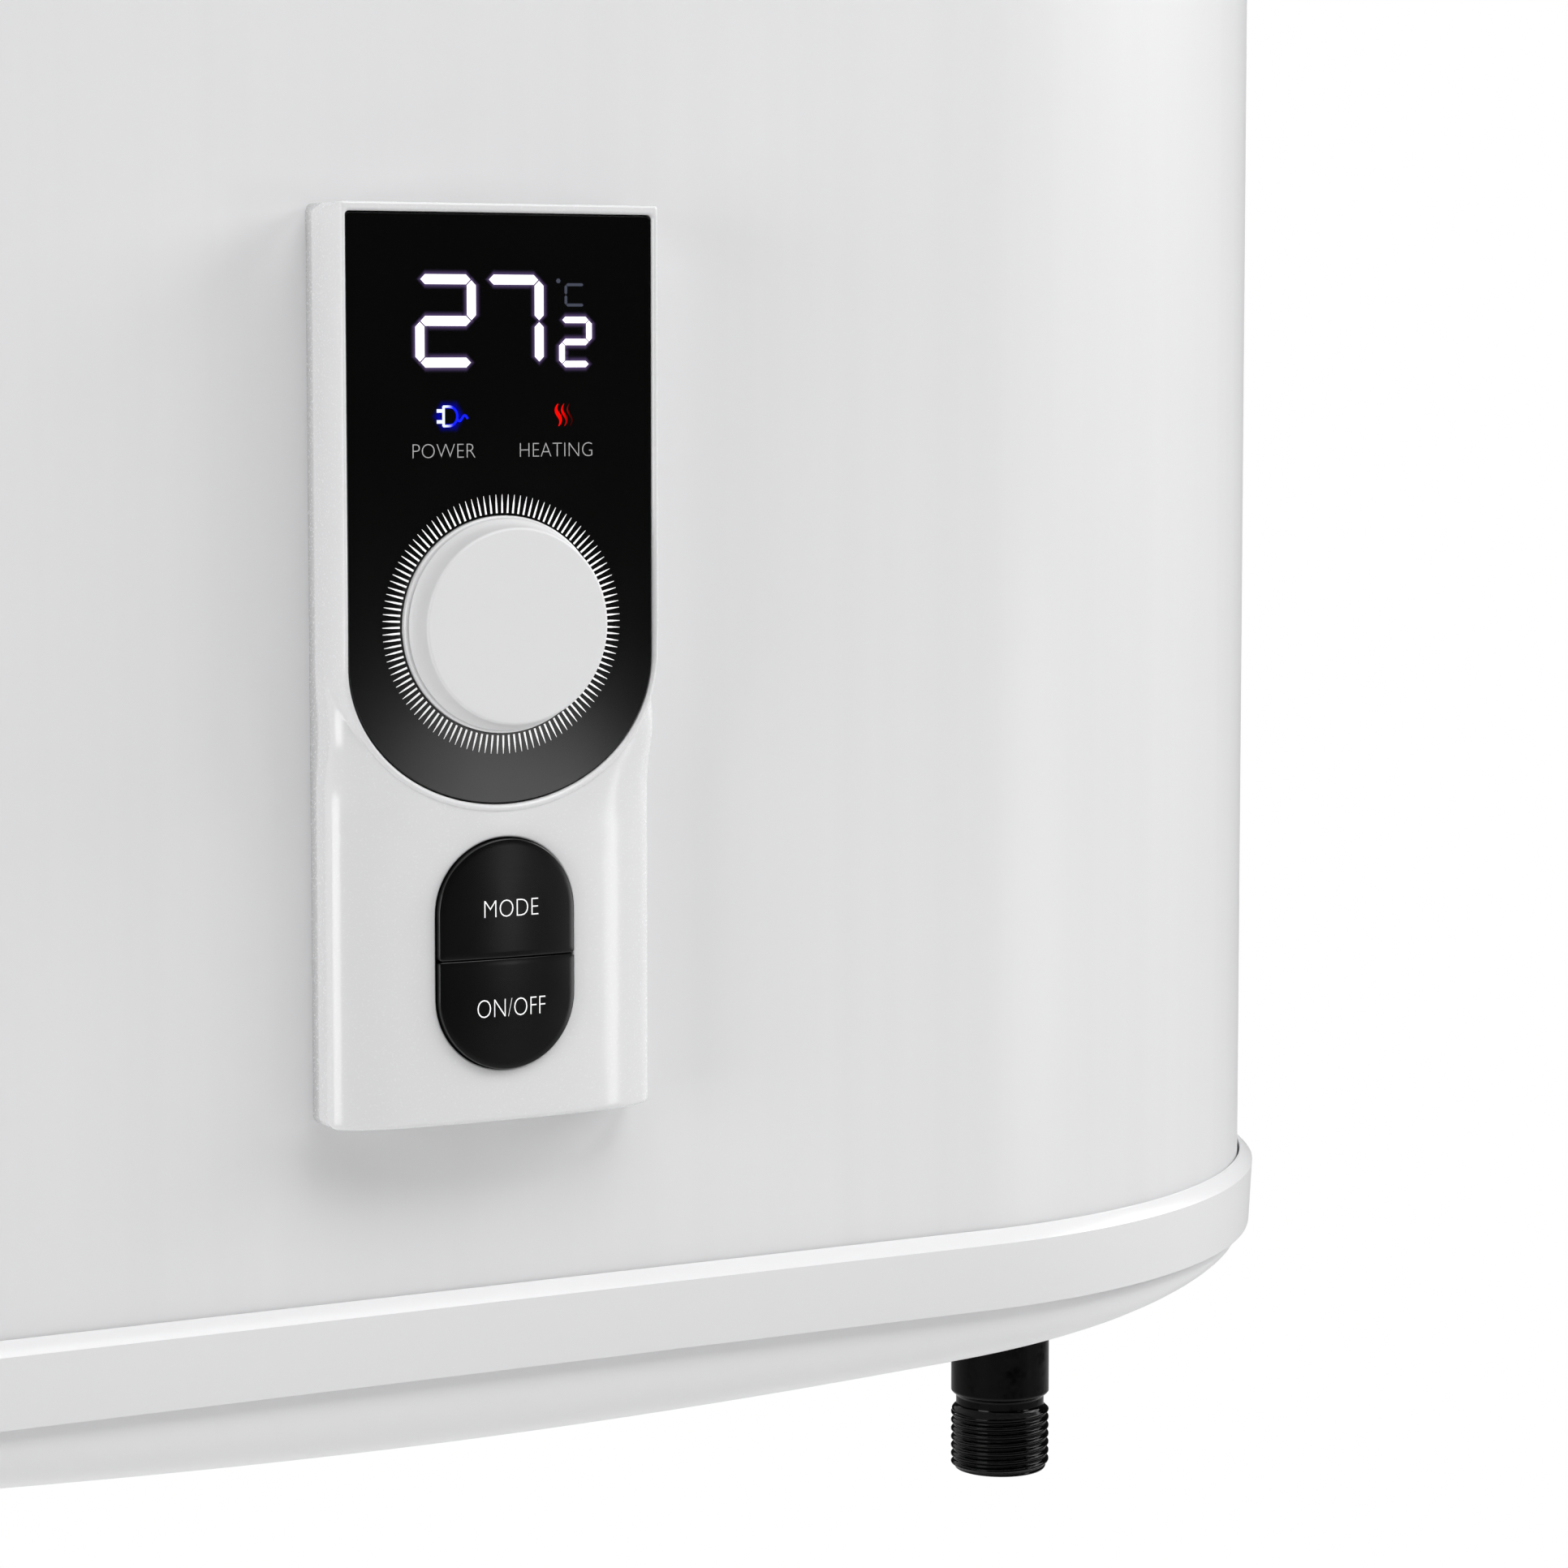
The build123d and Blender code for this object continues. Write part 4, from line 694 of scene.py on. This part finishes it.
def side_wall(outer, proud):
    """The straight wall from the edge of the front back to the casing."""
    share = np.array([1, 0.98, 0.5, 0])[:, None]
    return on_front(outer[:, 0], proud * share, outer[:, 1])


window_in, window_out = window_ring()
skin_a, proud_a = ring_skin(window_in, window_out, 0.75)
on_seam = np.flatnonzero(np.abs(window_out[:, 1] - SEAM_Z) < 1e-6)
common = window_out[on_seam]
if common[0, 0] > common[-1, 0]:
    common = common[::-1]
key_in, key_out = key_ring(common)
skin_b, proud_b = ring_skin(key_in, key_out, 0.4)
off_seam = np.roll(np.arange(len(window_out)), -on_seam[-1])[:len(window_out) - len(on_seam) + 2]
below = np.roll(np.arange(len(key_out)), 1 - len(common))[:len(key_out) - len(common) + 2]
housing_mesh = make_mesh([
    sheet(skin_a, ring_columns=True), sheet(skin_b, ring_columns=True),
    sheet(side_wall(window_out[off_seam], proud_a[off_seam])),
    sheet(side_wall(key_out[below], proud_b[below]))], sharp=38, weld=5e-6)
housing = make_piece("panel_housing_shell", housing_mesh, "panel_white", "panel_housing")
wall = housing.modifiers.new("wall", "SOLIDIFY")
wall.thickness, wall.offset = 0.8 * MM, -1

# %% [markdown]
# ## The window
# A flat plate of black acrylic lies inside the lip with a hair of room round it, and has a round hole for
# the knob's collar. It is one ring: back edge, front edge of the hole, a fine bevel at the outline, and the
# back edge again.

# %% Window plate
KNOB_Z = 136.5
COLLAR_R = 19.2
PLATE_SHARE, PLATE_BEVEL = 0.9955, 0.16    # its outline as a share of the opening's, and its fine bevel
HAIR = 0.12                       # room round the collar
flat_ray = window_in - [0, KNOB_Z]
unit_ray = flat_ray / np.linalg.norm(flat_ray, axis=1)[:, None]
hole = [0, KNOB_Z] + unit_ray * (COLLAR_R + HAIR)
plate_middle = np.array([0, (WINDOW_TOP + BOWL_Z - BOWL_H) / 2])
inset = plate_middle + (window_in - plate_middle) * PLATE_SHARE
fine = inset - unit_ray * PLATE_BEVEL
window_rows = [(hole, PLATE_BACK), (hole, WINDOW_P), (fine, WINDOW_P), (inset, WINDOW_P - PLATE_BEVEL),
               (inset, PLATE_BACK), (hole, PLATE_BACK)]
window_points = np.stack([on_front(p[:, 0], proud, p[:, 1]) for p, proud in window_rows])
make_piece("display_window_plate", make_mesh([sheet(window_points, ring_columns=True)]), "window_black",
           "display_window")

# %% [markdown]
# ## Knob and collar
# Both are turned parts, so a profile of radius and height goes once round the knob's axis. The knob flares
# at its foot, narrows slightly to its face and has a soft edge; the collar is a low ring with a groove
# between it and the knob. The knob rides on its own body and turns with it.

# %% Turned pieces
def turned(profile):
    """A closed profile of (radius, proud) carried once round the knob's axis."""
    radius, proud = np.array(profile, float).T[:, :, None]
    turn = straight(0, 2 * np.pi, 160)[None]
    x, z = radius * np.cos(turn), KNOB_Z + radius * np.sin(turn)
    return [sheet(on_front(x, proud, z), ring_columns=True)]


def soft_corner(radius, proud, size, start, end, count):
    """Points of an arc round (radius, proud) as part of a profile, between two angles in degrees."""
    turn = np.radians(np.linspace(start, end, count))
    return [(radius + size * math.cos(t), proud + size * math.sin(t)) for t in turn]


knob_profile = [(0, 15.4), (16.6, 15.4), (16.8, 14.62), (18.5, 14.62)]
knob_profile += soft_corner(18.42, 14.9, 0.25, -60, 60, 5)
knob_profile += [(18.35, 15.4), (18.0, 16.0), (17.75, 16.8), (17.55, 18.0), (17.42, 19.2)]
knob_profile += soft_corner(16.8, 19.45, 0.6, 8, 90, 10) + [(16.0, 20.05), (8.0, 20.05), (0, 20.05)]
make_piece("temperature_knob", make_mesh(turned(knob_profile), sharp=40), "knob_white", "knob",
           body="knob_dial")
collar_profile = [(17.0, 8.6), (17.0, 13.9)] + soft_corner(17.25, 14.05, 0.25, 180, 90, 5)
collar_profile += soft_corner(18.75, 13.85, 0.45, 90, 0, 7) + [(COLLAR_R, 11.0), (COLLAR_R, 8.6), (17.0, 8.6)]
make_piece("dial_collar", make_mesh(turned(collar_profile), sharp=40), "panel_white", "knob_collar")

# %% [markdown]
# ## Keys
# The two keys are the halves of one stadium with a thin gap between them. A key is a dome of rows: round its
# own outline at the back, up the side, over a small rounded edge, and in to its middle, where the rows close
# at a pole. Its face bows like the panel's.

# %% Key caps
KEY_P, KEY_BACK, KEY_EDGE = 15.2, 11.6, 0.22


def key_face(x, z):
    """The face is highest in the middle and falls with the square of the distance across and along."""
    return KEY_P - 0.6 * (x / KEY_HALF) ** 2 - 0.15 * ((z - 78.0) / 20.5) ** 2


def key_outline(low, high):
    """Half a stadium: its round end from the stadium, cut off straight at the split, with small corners."""
    upper = high == KEY_HIGH
    r, top = KEY_HALF, (high - KEY_HALF if upper else low + KEY_HALF)
    sign = 1 if upper else -1
    flat = low if upper else high
    end = arc_points(0, top, r, 0, 180 * sign, 72)
    left = line_points((-r, top), (-r, flat + sign * 0.5), 10)
    corner_left = arc_points(-r + 0.5, flat + sign * 0.5, 0.5, 180, 180 + 90 * sign, 5)
    base = line_points((-r + 0.5, flat), (r - 0.5, flat), 24)
    corner_right = arc_points(r - 0.5, flat + sign * 0.5, 0.5, -90 * sign, 0, 5)
    right = line_points((r, flat + sign * 0.5), (r, top), 10)
    return np.concatenate([end, left, corner_left, base, corner_right, right])


def key_surface(low, high):
    """Rows of the outline, drawn in towards the middle, with the edge's quarter circle between side and
    face."""
    line = key_outline(low, high)
    middle = np.array([0, (low + high) / 2])
    size = np.abs(line - middle).max(0)
    turn = np.linspace(0, np.pi / 2, 7)
    inward = np.concatenate([[0, 0], KEY_EDGE * (1 - np.cos(turn)), [1.2, 3, 6, 10, 99]])
    drop = np.concatenate([[KEY_P - KEY_BACK, 2.0], KEY_EDGE * (1 - np.sin(turn)), np.zeros(5)])
    share = np.clip(1 - inward[:, None, None] / size, 0, 1)
    at = middle + (line - middle) * share
    proud = key_face(at[..., 0], at[..., 1]) - drop[:, None]
    proud[0] = KEY_BACK
    back = on_front(np.zeros(len(line)), KEY_BACK, middle[1])[None]
    return [sheet(np.concatenate([back, on_front(at[..., 0], proud, at[..., 1])]), ring_columns=True)]


for name, low, high, body, node in (
        ("mode_key_cap", KEY_SPLIT + SPLIT_HALF, KEY_HIGH, "mode_key", "mode_button"),
        ("onoff_key_cap", KEY_LOW, KEY_SPLIT - SPLIT_HALF, "onoff_key", "onoff_button")):
    make_piece(name, make_mesh(key_surface(low, high), sharp=40), "key_black", node, body=body)

# %% [markdown]
# ## Ticks round the dial
# A hundred and twenty fine ticks are printed on the window, each a wedge that is widest at the knob and ends
# almost in a point. Each is a single flat face, and one array holds every wedge, turned to its own angle. The
# white ink has a faint painted glow, so that it stays bright where shade falls on it.

# %% Ticks
INK = 0.03                        # how far printed marks lie above the surface, mm


def printed(sheets):
    """A flat mesh that faces the front, with none of its points welded."""
    return make_mesh(sheets, (0, -1, 0), weld=1e-9)


def flat_marks(outlines, proud):
    """Several outlines of equal length, (marks, points, 2), as flat faces at a height above the casing."""
    marks, count = outlines.shape[:2]
    x, z = outlines[..., 0], outlines[..., 1]
    faces = np.arange(marks * count).reshape(marks, count)
    return printed([(on_front(x, proud(x, z), z).reshape(-1, 3), faces)])


def on_window(x, z):
    """Marks printed on the window all lie at one height."""
    return np.full(np.shape(x), WINDOW_P + INK)


def tick_wedges():
    """Each tick in its own polar place: widest at the foot, a little narrower part way out, and narrowing to
    almost a point at the tip."""
    radius = np.array([19.65, 21.3, 22.93, 22.93, 21.3, 19.65])
    half = np.array([0.18, 0.16, 0.04, -0.04, -0.16, -0.18])
    turn = straight(0, 2 * np.pi, 120)[:, None]
    x = radius * np.cos(turn) - half * np.sin(turn)
    z = KNOB_Z + radius * np.sin(turn) + half * np.cos(turn)
    return np.stack([x, z], -1)


# The white print glows faintly. This is painted light, not a lamp, and keeps the ticks and key words bright
# in shade.
ink = Finish("ink_white_painted_glow", paint("#F4F4F4"), Roughness=0.5, Emission_Color=paint("#FFFFFF"),
             Emission_Strength=0.4)
ink.put("Base Color", ink.mix(ink.noise(1800.0), paint("#E4E4E4"), paint("#FAFAFA")))
label_ink = Finish("ink_grey", paint("#C4C4C4"), Roughness=0.5)
label_ink.put("Base Color", label_ink.mix(label_ink.noise(1500.0), paint("#9A9A9A"), paint("#D6D6D6")))
make_piece("dial_ticks", flat_marks(tick_wedges(), on_window), "panel_white", finish="ink_white_painted_glow")

# %% [markdown]
# ## Lit digits
# Behind the acrylic sit seven-segment digits. A segment is a bar with mitred ends; a digit is a choice of
# segments. The light spreads a little in the plastic, so round each bar lies a faint violet halo: the bar's
# outline pushed outwards, with its brightness kept in an attribute that fades to nothing.

# %% Segments
def segment(start, end, thick):
    """A bar from start to end: six points, its corners cut back by half of its thickness."""
    start, end = np.array(start, float), np.array(end, float)
    along = (end - start) / np.linalg.norm(end - start)
    side = np.array([-along[1], along[0]]) * thick / 2
    cut = along * thick / 2
    return np.stack([start, start + side + cut, end + side - cut, end, end - side - cut, start - side + cut])


def digit(segments, left, right, low, high, thick, gap=0.16):
    """The named segments of one digit, a to g, in its box."""
    h = thick / 2
    x0, x1, z0, z1, zm = left + h, right - h, low + h, high - h, (low + high) / 2
    ends = {"a": ((x0, z1), (x1, z1)), "b": ((x1, z1), (x1, zm)), "c": ((x1, zm), (x1, z0)),
            "d": ((x0, z0), (x1, z0)), "e": ((x0, zm), (x0, z0)), "f": ((x0, z1), (x0, zm)),
            "g": ((x0, zm), (x1, zm))}
    bars = []
    for name in segments:  # each bar stops short of its corners by the gap
        p, q = (np.array(v) for v in ends[name])
        along = (q - p) / np.linalg.norm(q - p)
        bars.append(segment(p + along * gap, q - along * gap, thick))
    return bars


def halo(outline, reach):
    """Rows pushed out from an outline along its sides' normals, with 1 falling to 0 as brightness."""
    share = np.linspace(0, 1, 6)
    after, before = np.roll(outline, -1, 0), np.roll(outline, 1, 0)
    edge = after - before
    normal = np.stack([edge[:, 1], -edge[:, 0]], -1) / np.linalg.norm(edge, axis=1)[:, None]
    outwards = np.sign(((outline - outline.mean(0)) * normal).sum(1).mean())
    return outline + share[:, None, None] * reach * normal * outwards, 1 - share


def glow_mesh(outlines, reach, proud):
    """All halos in one mesh, with the brightness as a point attribute called glow."""
    rows = [halo(line, reach) for line in outlines]
    mesh = printed([sheet(on_front(p[..., 0], proud, p[..., 1]), ring_columns=True) for p, _ in rows])
    values = np.concatenate([np.repeat(v, len(line)) for (_, v), line in zip(rows, outlines)])
    mesh.attributes.new("glow", "FLOAT", "POINT").data.foreach_set("value", values.astype(np.float32))
    return mesh


def dark_base(name, strength, roughness):
    """A finish with a black base and no gloss, so that only its emission shows."""
    return Finish(name, paint("#000000"), Emission_Strength=strength, Roughness=roughness,
                  Specular_IOR_Level=0.0)


def light_finish(name, colour, strength):
    """A lit mark: its colour as emission, a little uneven as light through a diffuser is."""
    lit = dark_base(name, strength, 0.4)
    lit.put("Emission Color", lit.mix(lit.noise(600.0), paint(colour, 0.9), paint(colour)))


def glow_finish(name, colour, strength, weight):
    """A halo: emission whose alpha is the square of the glow attribute."""
    lit = dark_base(name, strength, 0.6)
    glow = lit.add("ShaderNodeAttribute", {"attribute_name": "glow"}, output="Fac")
    lit.put("Emission Color", lit.mix(glow, paint(colour), paint(colour)))
    lit.put("Alpha", glow * glow * weight)


DIGIT_LOW, DIGIT_HIGH, BAR = 181.7, 197.9, 1.72
digits = digit("abged", -16.35, -4.82, DIGIT_LOW, DIGIT_HIGH, BAR)
digits += digit("abc", -3.3, 8.2, DIGIT_LOW, DIGIT_HIGH, BAR)
digits += digit("abged", 11.2, 17.6, DIGIT_LOW, 190.6, 1.12, 0.1)
light_finish("lit_white", "#FFFCFF", 1.6)
glow_finish("glow_violet", "#C9A6FF", 0.8, 0.22)
make_piece("lit_digits", flat_marks(np.stack(digits), on_window), "part_white", finish="lit_white")
make_piece("digit_glow", glow_mesh(digits, 1.0, WINDOW_P + INK * 0.5), "part_white", finish="glow_violet")

# %% [markdown]
# ## Degree sign and icons
# The unit is dimmer than the digits. The plug and the rising-heat sign are drawn as strokes: a ribbon of
# given width along a line of points. The plug goes from white to blue and the heat from red to nearly dark,
# so both read their colour from the point's place on the surface.

# %% Unit and icon strokes
def ribbon(line, width):
    """A flat stroke: the line's points pushed to both sides, the width given for each point."""
    line = np.array(line, float)
    along = np.gradient(line, axis=0)
    side = np.stack([-along[:, 1], along[:, 0]], -1) / np.linalg.norm(along, axis=1)[:, None]
    half = np.broadcast_to(np.asarray(width, float) / 2, len(line))[:, None]
    return np.stack([line + side * half, line - side * half])


def stroke_mesh(strokes):
    """Several ribbons in one flat mesh on the window."""
    return printed([sheet(on_front(s[..., 0], WINDOW_P + INK, s[..., 1])) for s in strokes])


def drift_finish(name, first, second, start, width, strength):
    """Emission that passes from one colour to another along x, where start and width are in metres."""
    lit = dark_base(name, strength, 0.5)
    x = lit.add("ShaderNodeSeparateXYZ", None, {0: lit.coordinates()})
    lit.put("Emission Color", lit.mix(x.above(start, width), paint(first), paint(second)))


light_finish("lit_dim", "#4A4E5C", 1.0)
dot_turn = straight(0, 2 * np.pi, 6)
dot = np.stack([11.1 + 0.45 * np.cos(dot_turn), 196.9 + 0.45 * np.sin(dot_turn)], -1)
unit = digit("adef", 12.3, 16.3, 192.4, 196.5, 0.52, 0.05) + [dot]
make_piece("degree_sign", flat_marks(np.stack(unit), on_window), "part_white", finish="lit_dim")

bend = np.radians(np.linspace(90, -90, 17))
plug_x, plug_z = -10.2, 173.2
plug_face = [(plug_x - 0.9, plug_z + 1.75), (plug_x - 0.9, plug_z - 1.75)]
plug_body = [(plug_x - 1.0, plug_z + 1.7), (plug_x + 0.1, plug_z + 1.7)]
plug_body += [(plug_x + 0.1 + 1.6 * math.cos(t), plug_z + 1.7 * math.sin(t)) for t in bend]
plug_body += [(plug_x - 1.0, plug_z - 1.7)]
cable = [(plug_x + 1.6 + s, plug_z - 0.35 - 0.5 * math.sin(3.1 * s)) for s in np.linspace(0, 2.1, 15)]
prongs = [[(plug_x - 2.2, plug_z + dz), (plug_x - 0.9, plug_z + dz)] for dz in (0.95, -0.95)]
plug = [ribbon(plug_face, 0.5), ribbon(plug_body, 0.42), ribbon(cable, 0.42)]
plug += [ribbon(p, 0.62) for p in prongs]
drift_finish("lit_plug", "#DDE2FF", "#1420FF", (plug_x - 0.6) * MM, 1.6 * MM, 1.3)
glow_finish("glow_blue", "#0508FF", 0.9, 0.55)
make_piece("plug_sign", stroke_mesh(plug), "part_white", finish="lit_plug")
disc = np.stack([plug_x + 0.1 + 1.7 * np.cos(dot_turn), plug_z + 1.5 * np.sin(dot_turn)], -1)
make_piece("plug_glow", glow_mesh([disc], 1.9, WINDOW_P + INK * 0.4), "part_white", finish="glow_blue")

RISE = 1.95                       # half of the rising waves' height
rise = np.linspace(-RISE, RISE, 15)
wave_width = 0.16 + 0.5 * np.cos(rise / RISE * np.pi / 2) ** 1.2
waves = [ribbon(np.stack([cx - 0.45 * np.sin(rise * 1.55), 173.3 + rise], -1), wave_width * size)
         for cx, size in ((11.0, 1.1), (12.15, 0.75), (13.2, 0.45))]
drift_finish("lit_red", "#FF0A05", "#480301", 11.2 * MM, 2.2 * MM, 1.2)
make_piece("heat_sign", stroke_mesh(waves), "part_white", finish="lit_red")

# %% [markdown]
# ## Printed words
# The labels say what a lamp or key does. Blender's text object sets the letters; it is turned into a mesh
# first and only then fitted to its box on the surface, so that the finished piece needs no scale or turn of
# its own. The key words follow the bow of their key and ride with it.

# %% Words
def on_key(x, z):
    """Marks printed on a key follow its bowed face."""
    return key_face(x, z) + INK


def words(text, left, right, low, high, proud, thin):
    """Letters as a mesh, thinned a little and fitted to a box by the span of their own points."""
    curve = bpy.data.curves.new(text, "FONT")
    curve.body, curve.resolution_u, curve.offset = text, 4, thin
    obj = add_object("setting", curve)
    flat = applied(obj)
    bpy.data.objects.remove(obj)
    points = np.zeros(len(flat.vertices) * 3)
    flat.vertices.foreach_get("co", points)
    xz = points.reshape(-1, 3)[:, :2]
    share = (xz - xz.min(0)) / (xz.max(0) - xz.min(0))
    x, z = left + share[:, 0] * (right - left), low + share[:, 1] * (high - low)
    flat.vertices.foreach_set("co", on_front(x, proud(x, z), z).ravel())
    if sum(p.normal.y for p in flat.polygons) > 0:
        flat.flip_normals()
    flat.update()
    return flat


# Key words use the white ink with its painted glow, and labels use the plain grey ink.
LABEL, KEY_WORD = (on_window, -0.024, "ink_grey"), (on_key, -0.022, "ink_white_painted_glow")
for name, text, box, (proud, thin, finish), body in (
        ("power_label", "POWER", (-17.0, -5.1, 165.95, 168.4), LABEL, "heater_body"),
        ("heating_label", "HEATING", (3.5, 17.6, 165.95, 168.4), LABEL, "heater_body"),
        ("mode_word", "MODE", (-4.7, 5.8, 84.8, 87.85), KEY_WORD, "mode_key"),
        ("onoff_word", "ON/OFF", (-6.1, 7.1, 67.0, 70.2), KEY_WORD, "onoff_key")):
    make_piece(name, words(text, *box, proud, thin), "panel_white", body=body, finish=finish)

# %% [markdown]
# ## Finishes for the carried-over parts
# The brackets, screws, tanks, elements and boards keep the shapes they were built with. Each already names
# its material slot, so the finish of the same name is put in its place.

# %% Carried-over parts
for name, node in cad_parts.items():
    for place_in_list in node.material_slots:
        slot_name = place_in_list.material.name.split(".")[0]
        if slot_name in finishes:
            place_in_list.material = finishes[slot_name]
        else:
            print("no finish for", name, slot_name)

# %% [markdown]
# ## Floor, light and camera
# Two broad lights stand high to the right, so that the rounded front corner is the brightest part and the
# panel throws a soft shadow to the left and below. Others fill in from the left, from above and from behind.
# Two small discs low in front show as a grey sheen in the black window and keys. The surroundings are white
# to the camera, which lets the white casing stand on white, as in a studio, and dim to everything else.

# %% Floor
FLOOR_HALF, FLOOR_HEIGHT = 4500.0, -1060.0
corners = np.meshgrid([-FLOOR_HALF, FLOOR_HALF], [-FLOOR_HALF, FLOOR_HALF])
floor = add_object("floor", make_mesh([sheet(place(*corners, FLOOR_HEIGHT))], (0, 0, 1)))
floor_finish = Finish("floor_pale", paint("#F2F2F2"), Roughness=0.8, Emission_Color=paint("#FFFFFF"),
                      Emission_Strength=0.14)
floor_finish.put("Base Color", floor_finish.mix(floor_finish.noise(3.0), paint("#EFEFEF"), paint("#F5F5F5")))
plain = floor_finish.add("ShaderNodeEmission", None, {"Color": paint("#FFFFFF"), "Strength": 1.0})
direct = floor_finish.add("ShaderNodeLightPath", output="Is Camera Ray")
lit_floor = Wire(floor_finish, floor_finish.shader.outputs[0])
floor_surface = floor_finish.add("ShaderNodeMixShader", None, {0: direct, 1: lit_floor, 2: plain})
floor_finish.feed(floor_finish.tree.nodes["Material Output"].inputs["Surface"], floor_surface)
floor.data.materials.append(floor_finish.material)
print("floor", (HANG - FLOOR_HEIGHT) * MM, "m below the slots")

# %% Lights
def soft_light(name, where, towards, size, watts, shape="SQUARE"):
    """An area light that looks at a point."""
    lamp = bpy.data.lights.new(name, "AREA")
    lamp.shape, lamp.size, lamp.energy = shape, size, watts
    obj = add_object(name, lamp)
    obj.location = where
    obj.rotation_euler = (Vector(towards) - Vector(where)).to_track_quat("-Z", "Y").to_euler()
    print(name, watts, "W from", where)


middle = (0.05, -0.27, -0.56)
soft_light("key_light", (1.94, -1.15, 0.41), middle, 1.1, 19)
soft_light("side_light", (2.13, -0.45, 0.41), middle, 1.1, 13)
soft_light("left_light", (-2.17, -0.87, -0.56), middle, 1.1, 18)
soft_light("top_light", (0.5, -1.51, 1.32), middle, 1.2, 20)
soft_light("top_fill", (-0.8, -1.28, 1.32), middle, 1.2, 7)
soft_light("window_sheen", (1.02, -2.52, -0.85), (0, -0.275, -0.585), 0.16, 0.21, "DISK")
soft_light("key_sheen", (1.562, -1.813, -0.88), (0, -0.278, -0.61), 0.5, 2.6, "DISK")
soft_light("back_light", (-1.3, 2.2, 0.4), (0, -0.1, -0.3), 1.6, 40)

# %% Surroundings
world = bpy.data.worlds.new("studio")
bpy.context.scene.world = world
world.use_nodes = True
sky = world.node_tree
for node in list(sky.nodes):
    sky.nodes.remove(node)
path = sky.nodes.new("ShaderNodeLightPath")


def white_sky(strength):
    """A plain white background."""
    node = sky.nodes.new("ShaderNodeBackground")
    node.inputs["Color"].default_value = (1, 1, 1, 1)
    node.inputs["Strength"].default_value = strength
    return node.outputs[0]


def chosen(ray, otherwise, then):
    """One background for a kind of ray, and the other for all the rest."""
    node = sky.nodes.new("ShaderNodeMixShader")
    for socket, source in zip(node.inputs, (path.outputs[ray], otherwise, then)):
        sky.links.new(source, socket)
    return node.outputs[0]


felt = chosen("Is Glossy Ray", white_sky(0.2), white_sky(0.03))
shown = chosen("Is Camera Ray", felt, white_sky(1.0))
sky.links.new(shown, sky.nodes.new("ShaderNodeOutputWorld").inputs["Surface"])
bpy.context.scene.view_settings.view_transform = "Standard"
bpy.context.scene.view_settings.look = "None"
print("surroundings:", len(sky.nodes), "nodes")

# %% Camera
lens = bpy.data.cameras.new("camera")
lens.sensor_width, lens.lens, lens.shift_y = 36.0, 98.633, -0.06
lens.clip_start, lens.clip_end = 0.02, 60.0
camera = add_object("camera", lens)
camera.location = (-0.3128, -0.9657, -0.5044)
camera.rotation_euler = (math.radians(90 - 4.589), 0, math.radians(-28.125))
bpy.context.scene.camera = camera
print("camera at", tuple(camera.location))
